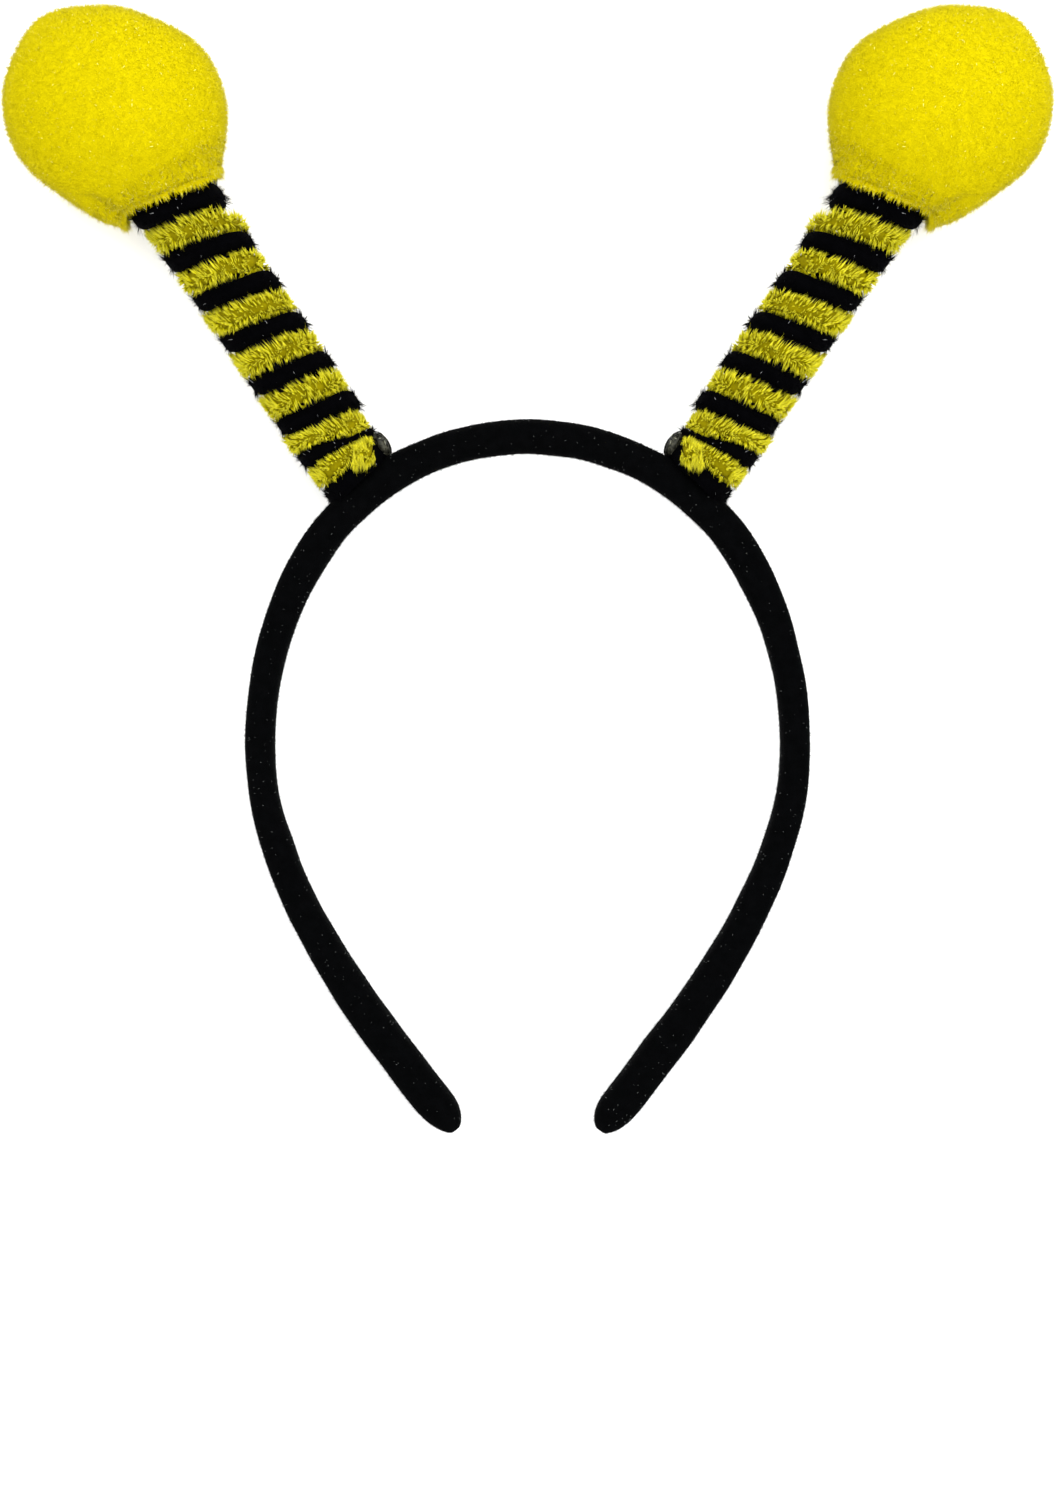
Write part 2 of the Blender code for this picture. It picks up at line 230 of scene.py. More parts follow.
@dataclass(frozen=True)
class Rig:
    """How the hoop's plane stands on the floor, and where antennae and balls stand in it."""

    tilt: float = math.radians(4.6)
    lean: float = math.radians(33.7)
    seat_side: float = 39.8 * MM
    seat_up: float = 156.2 * MM
    core_foot: float = 0.95 * MM
    core_top: float = 78.5 * MM
    pompom_seat: float = 80.0 * MM
    pompom_slope: float = 0.25

    def origin(self) -> Array:
        """Place of the hoop's own origin, read from the middle of a packed core."""
        low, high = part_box("core_right")
        middle = 0.5 * (np.array(low) + np.array(high))
        up = self.seat_up + math.cos(self.lean) * 0.5 * (self.core_foot + self.core_top)
        return np.array((
            0.0,
            middle[1] - up * math.cos(self.tilt),
            middle[2] - up * math.sin(self.tilt),
        ))

    def from_hoop(self, points: Array) -> Array:
        """Turns points of the hoop's plane into points of the frame.

        Args:
            points: coordinates to the right, up the hoop and out of its front.

        Returns:
            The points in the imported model's frame.
        """
        side, up, front = np.moveaxis(np.asarray(points), -1, 0)
        cos, sin = math.cos(self.tilt), math.sin(self.tilt)
        turned = np.stack((side, up * cos - front * sin, up * sin + front * cos), axis=-1)
        return self.origin() + turned

    def from_antenna(self, points: Array, hand: Hand) -> Array:
        """Turns points of an antenna's own axes into points of the frame.

        Args:
            points: coordinates outwards, up the antenna and out of the front.
            hand: the antenna's side.

        Returns:
            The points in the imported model's frame.
        """
        out, up, front = np.moveaxis(np.asarray(points), -1, 0)
        cos, sin = math.cos(self.lean), math.sin(self.lean)
        side = hand.value * (self.seat_side + out * cos + up * sin)
        height = self.seat_up - out * sin + up * cos
        return self.from_hoop(np.stack((side, height, front), axis=-1))

    def turned(self, vectors: Array, hand: Hand) -> Array:
        """Turns directions of an antenna's own axes into directions of the frame."""
        return self.from_antenna(vectors, hand) - self.from_antenna(np.zeros(3), hand)


@dataclass
class Strands:
    """Fibres in an antenna's own axes, with the way that soft pile faces at each."""

    roots: Array
    tips: Array
    widths: Array
    shade: Array
    facing: Array | None = None

    def chosen(self, which: Array) -> "Strands":
        """Some of the fibres."""
        return Strands(*(
            values if values is None else values[which] for values in vars(self).values()
        ))


class Shape:
    """A mesh in the making: skins, and fibres with the values that their finishes read."""

    def __init__(self) -> None:
        """Starts with nothing in it."""
        self.points: list[Array] = []
        self.faces: list[Array] = []
        self.along: list[Array] = []
        self.shade: list[Array] = []
        self.normals: list[Array] = []
        self.maps: list[Array] = []
        self.slots: list[Array] = []
        self.count = 0

    def add(self, points: Array, faces: Array, along: Array, shade: Array, places: Array,
            slot: int, normals: Array | None = None) -> None:
        """Adds triangles.

        Args:
            points: corner points.
            faces: three point numbers for each triangle.
            along: for each point, how far it is from root to tip, from 0 to 1.
            shade: for each point, its own random or painted value, from 0 to 1.
            places: for each triangle, its three places on the bake map.
            slot: number of the finish.
            normals: for each point, the way that its shading faces, or none for its faces' own.
        """
        self.points.append(points)
        self.normals.append(np.zeros_like(points) if normals is None else normals)
        self.faces.append(faces + self.count)
        self.along.append(along)
        self.shade.append(shade)
        self.maps.append(places)
        self.slots.append(np.full(len(faces), slot))
        self.count += len(points)

    def add_skin(self, grid: Array) -> None:
        """Adds a closed skin over rings of points, with a fan over each end.

        Args:
            grid: rings of points, as rows by sides by 3.
        """
        rows, sides = grid.shape[:2]
        row, side = np.meshgrid(np.arange(rows - 1), np.arange(sides), indexing="ij")
        row, side = row.ravel(), side.ravel()
        beside = (side + 1) % sides
        here, right = row * sides + side, row * sides + beside
        above, corner = here + sides, right + sides
        step = SKIN_SHARE / (rows - 1)
        low, high = row * step, (row + 1) * step
        left_at, right_at = side / sides, (side + 1) / sides
        here_at, above_at = np.stack((left_at, low), -1), np.stack((left_at, high), -1)
        beside_at, corner_at = np.stack((right_at, low), -1), np.stack((right_at, high), -1)
        faces = [np.stack((here, right, corner), -1), np.stack((here, corner, above), -1)]
        places = [
            np.stack((here_at, beside_at, corner_at), 1),
            np.stack((here_at, corner_at, above_at), 1),
        ]

        # On the map, each fan lies in the middle half of the first or the last row
        ring = np.arange(sides)
        after = (ring + 1) % sides
        rim = np.stack((ring / sides, np.full(sides, 0.25 * step)), -1)
        rim_after = rim + np.array((1.0 / sides, 0.0))
        for end, first, way in ((0, 0, 1), (1, (rows - 1) * sides, -1)):
            middle = np.full(sides, rows * sides + end)
            fan = np.stack((first + after, first + ring, middle), -1)[:, ::way]
            faces.append(fan)
            base = np.array((0.0, end * (SKIN_SHARE - step)))
            hub = rim + np.array((0.5 / sides, 0.5 * step))
            places.append(np.stack((rim_after + base, rim + base, hub + base), 1)[:, ::way])
        points = np.concatenate((grid.reshape(-1, 3), grid[[0, -1]].mean(axis=1)))
        faces, places = np.concatenate(faces), np.concatenate(places)
        a, b, c = (points[faces[:, k]] for k in range(3))
        if np.einsum("ij,ij->i", a, np.cross(b, c)).sum() < 0.0:
            faces, places = faces[:, ::-1], places[:, ::-1]
        plain = np.zeros(len(points))
        self.add(points, faces, plain, plain, places, GROUND_SLOT)

    def add_fibres(self, roots: Array, tips: Array, widths: Array, shade: Array,
                   rng: np.random.Generator, thickest: float = 0.0, bend: Array | float = 0.0,
                   facing: Array | None = None, softness: float = 0.0) -> None:
        """Adds fibres, each closed and three-sided, with a point at its thin end or at both.

        Args:
            roots: where each fibre starts.
            tips: where it ends.
            widths: how wide it is at its thickest.
            shade: its own value from 0 to 1.
            rng: draws how it is turned about itself.
            thickest: how far from root to tip it is thickest, from 0 to 1.
            bend: how far that place lies off the straight line.
            facing: which way the pile faces at each fibre.
            softness: how much its shading follows that, from 0 to 1.
        """
        count = len(roots)
        axis = unit(tips - roots)
        across, third = crosswise(axis, (0.0, 0.0, 1.0))
        turn = rng.uniform(0.0, 2.0 * math.pi, (count, 1)) + np.arange(3) * (2.0 * math.pi / 3)
        spoke = (
            np.cos(turn)[..., None] * across[:, None] + np.sin(turn)[..., None] * third[:, None]
        )
        belly = roots + (tips - roots) * thickest + bend
        points = [belly[:, None] + spoke * 0.5 * widths[:, None, None]]
        height = [thickest] * 3
        faces = []
        for end, at, way in ((roots, 0.0, -1), (tips, 1.0, 1)):
            if at == thickest:
                faces.append((0, 1, 2)[::way])
                continue
            apex = len(height)
            points.append(end[:, None])
            height.append(at)
            faces += [(side, (side + 1) % 3, apex)[::way] for side in range(3)]
        points, height, faces = np.concatenate(points, axis=1), np.array(height), np.array(faces)
        each = len(height)
        spread = np.array((-1.0, 0.0, 1.0, 0.0, 0.0))[:each] * FIBRE_MAP_HALF_WIDTH
        low_end, high_end = SKIN_SHARE + FIBRE_MAP_MARGIN, 1.0 - FIBRE_MAP_MARGIN
        v = low_end + (high_end - low_end) * height + 0.5 * np.abs(spread)
        u = FIBRE_MAP_MARGIN + (1.0 - 2.0 * FIBRE_MAP_MARGIN) * shade[:, None] + spread
        places = np.stack((u, np.broadcast_to(v, u.shape)), -1)[:, faces]
        numbers = (np.arange(count) * each)[:, None, None] + faces
        normals = None
        if facing is not None:
            own = np.concatenate((spoke, np.zeros((count, each - 3, 3))), axis=1)
            normals = softness * facing[:, None] + (1.0 - softness) * own
            normals = unit(normals.reshape(-1, 3))
        self.add(
            points.reshape(-1, 3), numbers.reshape(-1, 3), np.tile(height, count),
            np.repeat(shade, each), places.reshape(-1, 3, 2), FIBRE_SLOT, normals,
        )

    def add_strands(self, strands: Strands, rig: Rig, hand: Hand, rng: np.random.Generator,
                    thickest: float, softness: float = 0.0) -> None:
        """Adds fibres that are given in an antenna's own axes.

        Args:
            strands: the fibres.
            rig: where the antenna stands.
            hand: the antenna's side.
            rng: draws how each is turned about itself.
            thickest: how far from root to tip they are thickest, from 0 to 1.
            softness: how much their shading follows the pile's, from 0 to 1.
        """
        roots, tips = (rig.from_antenna(x, hand) for x in (strands.roots, strands.tips))
        facing = None if strands.facing is None else rig.turned(strands.facing, hand)
        self.add_fibres(
            roots, tips, strands.widths, strands.shade, rng, thickest=thickest, facing=facing,
            softness=softness,
        )

    def make(self, name: str, ground: bpy.types.Material,
             fibre: bpy.types.Material) -> bpy.types.Object:
        """Makes the mesh and its object.

        Args:
            name: the piece's name.
            ground: what its skins are made of.
            fibre: what its fibres are made of.

        Returns:
            The new object, in the scene.
        """
        points, faces = np.concatenate(self.points), np.concatenate(self.faces)
        points[:, 2] = np.maximum(points[:, 2], 0.0)
        mesh = bpy.data.meshes.new(name)
        mesh.vertices.add(len(points))
        mesh.vertices.foreach_set("co", points.astype(np.float32).ravel())
        mesh.loops.add(faces.size)
        mesh.loops.foreach_set("vertex_index", faces.astype(np.int32).ravel())
        mesh.polygons.add(len(faces))
        mesh.polygons.foreach_set("loop_start", np.arange(0, faces.size, 3, dtype=np.int32))
        mesh.polygons.foreach_set("material_index", np.concatenate(self.slots).astype(np.int32))
        mesh.polygons.foreach_set("use_smooth", np.ones(len(faces), bool))
        mesh.update(calc_edges=True)
        for attribute, values in ((ALONG, self.along), (SHADE, self.shade)):
            layer = mesh.attributes.new(attribute, "FLOAT", "POINT")
            layer.data.foreach_set("value", np.concatenate(values).astype(np.float32))
        layer = mesh.uv_layers.new(name=BAKE_MAP)
        places = np.concatenate(self.maps).clip(0.0, 1.0)
        layer.uv.foreach_set("vector", places.astype(np.float32).ravel())
        normals = np.concatenate(self.normals)
        if normals.any():
            mesh.normals_split_custom_set_from_vertices(normals.tolist())
        for finish in (ground, fibre):
            mesh.materials.append(finish)
        piece = bpy.data.objects.new(name, mesh)
        bpy.context.scene.collection.objects.link(piece)
        return piece


@dataclass
class Seeds:
    """Places on a skin where fibres grow."""

    points: Array
    normals: Array
    headings: Array


def scatter(grid: Array, count: int, rng: np.random.Generator) -> Seeds:
    """Spreads seeds evenly over a skin.

    Args:
        grid: the skin's rings of points, as rows by sides by 3.
        count: how many seeds there are.
        rng: draws them.

    Returns:
        The seeds, with each one's outward normal and the direction from ring to ring.
    """
    around = np.roll(grid, -1, axis=1) - np.roll(grid, 1, axis=1)
    heading = np.gradient(grid, axis=0)
    normal = unit(np.cross(around, heading))
    outward = grid - grid.mean(axis=1, keepdims=True)
    normal *= np.where((normal * outward).sum() < 0.0, -1.0, 1.0)
    beside = np.roll(grid, -1, axis=1)
    area = np.linalg.norm(np.cross(beside[1:] - grid[:-1], grid[1:] - beside[:-1]), axis=-1)
    total = np.cumsum(area.ravel())
    at = (np.arange(count) + rng.random(count)) / count * total[-1]
    row, side = np.divmod(np.searchsorted(total, at).clip(0, area.size - 1), grid.shape[1])
    s, t = rng.random((2, count, 1))

    def blend(values: Array) -> Array:
        """Reads values of the grid's points at the seeds."""
        other = (side + 1) % grid.shape[1]
        low = values[row, side] * (1 - s) + values[row, other] * s
        high = values[row + 1, side] * (1 - s) + values[row + 1, other] * s
        return low * (1 - t) + high * t

    return Seeds(blend(grid), unit(blend(normal)), unit(blend(heading)))


def finish_piece(piece: bpy.types.Object, node: str) -> None:
    """Ties a piece to the frame and reports it.

    Args:
        piece: the new piece.
        node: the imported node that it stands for.
    """
    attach(piece, BODY)
    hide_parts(node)
    LOG.info("%s: %d triangles", piece.name, len(piece.data.polygons))


class Recipe:
    """A material's nodes, written one line each."""

    def __init__(self, name: str) -> None:
        """Starts a material with a Principled shader.

        Args:
            name: the material's name.
        """
        self.material = bpy.data.materials.new(name)
        self.material.use_nodes = True
        self.tree = self.material.node_tree
        self.shader = self.tree.nodes["Principled BSDF"]

    def node(self, kind: str, **settings: object) -> bpy.types.Node:
        """Adds a node and sets its properties."""
        made = self.tree.nodes.new(kind)
        for name, value in settings.items():
            setattr(made, name, value)
        return made

    def feed(self, socket: bpy.types.NodeSocket, value: object) -> None:
        """Links a socket to an output, or sets it to a number or colour."""
        if isinstance(value, bpy.types.NodeSocket):
            self.tree.links.new(value, socket)
        else:
            socket.default_value = value

    def set(self, **values: object) -> None:
        """Sets the shader's own sockets, with underscores for the spaces in their names."""
        for name, value in values.items():
            self.feed(self.shader.inputs[name.replace("_", " ")], value)

    def attribute(self, name: str) -> bpy.types.NodeSocket:
        """A value that the mesh holds."""
        return self.node("ShaderNodeAttribute", attribute_name=name).outputs["Fac"]

    def noise(self, grain: float, detail: float = 2.0) -> bpy.types.NodeSocket:
        """Noise in the piece's own space.

        Args:
            grain: size of its grains, in metres.
            detail: how many finer octaves it has.

        Returns:
            Its value, about 0.5 on average.
        """
        space = self.node("ShaderNodeTexCoord")
        made = self.node("ShaderNodeTexNoise")
        self.feed(made.inputs["Vector"], space.outputs["Object"])
        made.inputs["Scale"].default_value = 1.0 / grain
        made.inputs["Detail"].default_value = detail
        return made.outputs["Fac"]

    def math(self, kind: str, *values: object) -> bpy.types.NodeSocket:
        """One operation on numbers or outputs."""
        made = self.node("ShaderNodeMath", operation=kind)
        for socket, value in zip(made.inputs, values):
            self.feed(socket, value)
        return made.outputs[0]

    def ramp(self, value: bpy.types.NodeSocket, *stops: tuple) -> bpy.types.NodeSocket:
        """Colours along a value.

        Args:
            value: the output that the ramp reads.
            stops: pairs of place and linear colour.

        Returns:
            The colour.
        """
        made = self.node("ShaderNodeValToRGB")
        elements = made.color_ramp.elements
        while len(elements) < len(stops):
            elements.new(0.5)
        for element, (place, colour) in zip(elements, stops):
            element.position = place
            element.color = (*colour, 1.0)
        self.feed(made.inputs[0], value)
        return made.outputs["Color"]

    def mix(self, share: object, first: object, second: object,
            kind: str = "MIX") -> bpy.types.NodeSocket:
        """Two colours mixed.

        Args:
            share: how much of the second there is.
            first: the first colour.
            second: the second colour.
            kind: how they are mixed.

        Returns:
            The colour.
        """
        made = self.node("ShaderNodeMix", data_type="RGBA", blend_type=kind)
        self.feed(made.inputs[0], share)
        for socket, value in zip((made.inputs[6], made.inputs[7]), (first, second)):
            self.feed(socket, value if isinstance(value, bpy.types.NodeSocket) else (*value, 1.0))
        return made.outputs[2]

    def bump(self, height: bpy.types.NodeSocket, depth: float) -> None:
        """Roughens the shader's surface by a height in metres."""
        made = self.node("ShaderNodeBump")
        made.inputs["Strength"].default_value = 1.0
        made.inputs["Distance"].default_value = depth
        self.feed(made.inputs["Height"], height)
        self.feed(self.shader.inputs["Normal"], made.outputs["Normal"])


@dataclass(frozen=True)
class FibreFinish:
    """Fibre colour: painted shade darkens the root, painted light pales the tip, and each one
    differs a little.
    """

    name: str
    root: tuple[float, float, float]
    middle: tuple[float, float, float]
    tip: tuple[float, float, float]
    dull: float = 0.75
    bright: float = 1.1
    middle_at: float = 0.45
    mottle: tuple[float, float, float] = (1.0, 1.0, 1.0)
    mottle_grain: float = 2.0 * MM
    mottle_share: float = 0.6
    glint: tuple[float, float, float] = (1.0, 1.0, 1.0)
    glint_share: float = 0.0
    glint_from: float = 0.0
    glint_patch: float = 0.0
    patch_grains: float = 3.0
    roughness: float = 0.8
    sheen: float = 0.0
    sheen_roughness: float = 0.35
    sheen_tint: tuple[float, float, float] = (1.0, 1.0, 1.0)
    shine: float = 0.05

    def make(self) -> bpy.types.Material:
        """Makes the material."""
        recipe = Recipe(self.name)
        shade = recipe.attribute(SHADE)
        # Along each fibre: painted shade at the root, painted light at the tip
        dye_and_painted_light = recipe.ramp(
            recipe.attribute(ALONG), (0.0, self.root), (self.middle_at, self.middle),
            (1.0, self.tip),
        )
        own = recipe.ramp(shade, (0.0, (self.dull,) * 3), (1.0, (self.bright,) * 3))
        dye_and_painted_light = recipe.mix(1.0, dye_and_painted_light, own, "MULTIPLY")
        patch = recipe.math("MULTIPLY", recipe.noise(self.mottle_grain), self.mottle_share)
        dye_and_painted_light = recipe.mix(patch, dye_and_painted_light, recipe.mix(1.0, dye_and_painted_light, self.mottle, "MULTIPLY"))
        if self.glint_share:
            patch = recipe.noise(self.patch_grains * self.mottle_grain)
            patch = recipe.math("SUBTRACT", patch, NOISE_MEAN)
            shade = recipe.math("MULTIPLY_ADD", patch, self.glint_patch, shade)
            pale = recipe.math("GREATER_THAN", shade, 1.0 - self.glint_share)
            at_tip = recipe.math("GREATER_THAN", recipe.attribute(ALONG), self.glint_from)
            pale = recipe.math("MULTIPLY", pale, at_tip)
            dye_and_painted_light = recipe.mix(pale, dye_and_painted_light, self.glint)
        recipe.set(
            Base_Color=dye_and_painted_light, Roughness=self.roughness, Sheen_Weight=self.sheen,
            Sheen_Tint=(*self.sheen_tint, 1.0), Sheen_Roughness=self.sheen_roughness,
            Specular_IOR_Level=self.shine,
        )
        return recipe.material


@dataclass(frozen=True)
class GroundFinish:
    """The dense ground under a pile: twisted yarn or backing cloth, with a fine grain."""

    name: str
    colour: tuple[float, float, float]
    patch: tuple[float, float, float]
    grain: float = 0.4 * MM
    grain_dark: tuple[float, float, float] = (0.6, 0.6, 0.6)
    patch_grains: float = 6.0
    patch_detail: float = 3.0
    patch_from: float = 0.35
    patch_full: float = 0.7
    relief: float = 0.15 * MM
    roughness: float = 0.9
    shine: float = 0.03

    def make(self) -> bpy.types.Material:
        """Makes the material."""
        recipe = Recipe(self.name)
        coarse = recipe.noise(self.patch_grains * self.grain, self.patch_detail)
        fine = recipe.noise(self.grain)
        dye_and_painted_light = recipe.ramp(coarse, (self.patch_from, self.colour), (self.patch_full, self.patch))
        dye_and_painted_light = recipe.mix(fine, dye_and_painted_light, recipe.mix(1.0, dye_and_painted_light, self.grain_dark, "MULTIPLY"))
        recipe.set(Base_Color=dye_and_painted_light, Roughness=self.roughness, Specular_IOR_Level=self.shine)
        recipe.bump(fine, self.relief)
        return recipe.material


@dataclass(frozen=True)
class GlueFinish:
    """Set glue: dark, cloudy and rippled, with a soft shine."""

    name: str = "set_glue"
    clear: tuple[float, float, float] = (0.010, 0.010, 0.007)
    cloudy: tuple[float, float, float] = (0.05, 0.05, 0.034)
    cloud_grain: float = 0.9 * MM
    cloud_from: float = 0.42
    cloud_full: float = 0.68
    roughness: float = 0.2
    cloud_roughness: float = 0.5
    refraction: float = 1.48
    shine: float = 0.15
    ripple_grain: float = 0.7 * MM
    relief: float = 0.1 * MM

    def make(self) -> bpy.types.Material:
        """Makes the material."""
        recipe = Recipe(self.name)
        cloud = recipe.noise(self.cloud_grain)
        recipe.set(
            Base_Color=recipe.ramp(
                cloud, (self.cloud_from, self.clear), (self.cloud_full, self.cloudy)
            ),
            Roughness=recipe.math("MULTIPLY_ADD", cloud, self.cloud_roughness, self.roughness),
            IOR=self.refraction, Specular_IOR_Level=self.shine,
        )
        recipe.bump(recipe.noise(self.ripple_grain, 1.0), self.relief)
        return recipe.material


@dataclass(frozen=True)
class PlasticFinish:
    """Dark moulded plastic with fine scuffs, darkened further by painted shade."""

    name: str = "dark_plastic"
    # Near black: the plastic's own dark colour and painted shade, as the core lies deep in the
    # windings
    colour: tuple[float, float, float] = (0.004, 0.004, 0.004)
    scuffed: tuple[float, float, float] = (0.010, 0.010, 0.010)
    scuff_grain: float = 1.5 * MM
    scuff_detail: float = 4.0
    scuff_from: float = 0.5
    scuff_full: float = 0.8
    roughness: float = 0.5
    scuff_roughness: float = 0.3
    shine: float = 0.08
    relief: float = 0.03 * MM

    def make(self) -> bpy.types.Material:
        """Makes the material."""
        recipe = Recipe(self.name)
        scuff = recipe.noise(self.scuff_grain, self.scuff_detail)
        recipe.set(
            Base_Color=recipe.ramp(
                scuff, (self.scuff_from, self.colour), (self.scuff_full, self.scuffed)
            ),
            Roughness=recipe.math("MULTIPLY_ADD", scuff, self.scuff_roughness, self.roughness),
            Specular_IOR_Level=self.shine,
        )
        recipe.bump(scuff, self.relief)
        return recipe.material


@dataclass(frozen=True)
class FloorFinish:
    """Pale matt board."""

    name: str = "pale_board"
    pale: tuple[float, float, float] = (0.93, 0.93, 0.93)
    grey: tuple[float, float, float] = (0.90, 0.90, 0.90)
    grey_from: float = 0.3
    grey_full: float = 0.7
    grain: float = 90.0 * MM
    roughness: float = 0.9
    shine: float = 0.1

    def make(self) -> bpy.types.Material:
        """Makes the material."""
        recipe = Recipe(self.name)
        colour = recipe.ramp(
            recipe.noise(self.grain), (self.grey_from, self.pale), (self.grey_full, self.grey)
        )
        recipe.set(Base_Color=colour, Roughness=self.roughness, Specular_IOR_Level=self.shine)
        return recipe.material


BLACK_CLOTH = GroundFinish(
    "black_cloth", (0.0008, 0.0009, 0.0010), (0.0013, 0.0014, 0.0016), shine=0.01
)
BLACK_PILE = FibreFinish(
    "black_pile", (0.0006, 0.0006, 0.0008), (0.0010, 0.0011, 0.0013), (0.0018, 0.0020, 0.0022),
    dull=0.3, bright=2.2, glint=(0.17, 0.18, 0.17), glint_share=0.06, glint_from=0.1,
    glint_patch=0.2, shine=0.01,
)
BLACK_TWIST = GroundFinish(
    "black_twist", (0.0005, 0.0005, 0.0008), (0.0009, 0.0009, 0.0013), shine=0.01
)
# Darker roots are painted shade; the sparse pale glints are painted highlights
BLACK_CHENILLE = FibreFinish(
    "black_chenille", (0.0004, 0.0004, 0.0006), (0.0008, 0.0008, 0.0012),
    (0.0016, 0.0016, 0.0022), dull=0.5, bright=1.5, glint=(0.5, 0.52, 0.52),
    glint_share=0.014, glint_from=0.2, shine=0.01,
)
# Dark olive, far darker than the fibres: painted shade where the ground shows in slots between the
# locks
SHADED_YELLOW_TWIST = GroundFinish("yellow_twist", (0.16, 0.135, 0.0003), (0.24, 0.20, 0.0006))
# Dark roots are painted shade deep in the pile; pale tips and glints are painted highlights
YELLOW_CHENILLE = FibreFinish(
    "yellow_chenille", (0.14, 0.115, 0.0003), (0.57, 0.505, 0.0010), (0.82, 0.77, 0.05),
    dull=0.5, bright=1.2, glint=(0.80, 0.78, 0.30), glint_share=0.08, glint_from=0.5,
    shine=0.02,
)
YELLOW_BACKING = GroundFinish(
    "yellow_backing", (0.54, 0.445, 0.0006), (0.57, 0.475, 0.0008), shine=0.01
)
# The slightly darker root is painted shade; the glints are painted sparkle at the tips
YELLOW_PLUSH = FibreFinish(
    "yellow_plush", (0.53, 0.435, 0.0004), (0.58, 0.485, 0.0006), (0.61, 0.52, 0.003),
    dull=0.84, bright=1.06, mottle=(0.93, 0.89, 0.8), mottle_grain=5.0 * MM,
    glint=(0.78, 0.73, 0.16), glint_share=0.02, glint_from=0.6, shine=0.01,
    sheen=0.15, sheen_tint=(1.0, 0.96, 0.35),
)
GLUE_HAIR = FibreFinish(
    "glue_hair", (0.0006, 0.0006, 0.0008), (0.0010, 0.0010, 0.0012), (0.0016, 0.0016, 0.0018),
    glint=(0.34, 0.34, 0.25), glint_share=0.2, shine=0.02,
)


class BandRow(NamedTuple):
    """One section of the band's right half, in millimetres."""

    side: float
    up: float
    thick: float


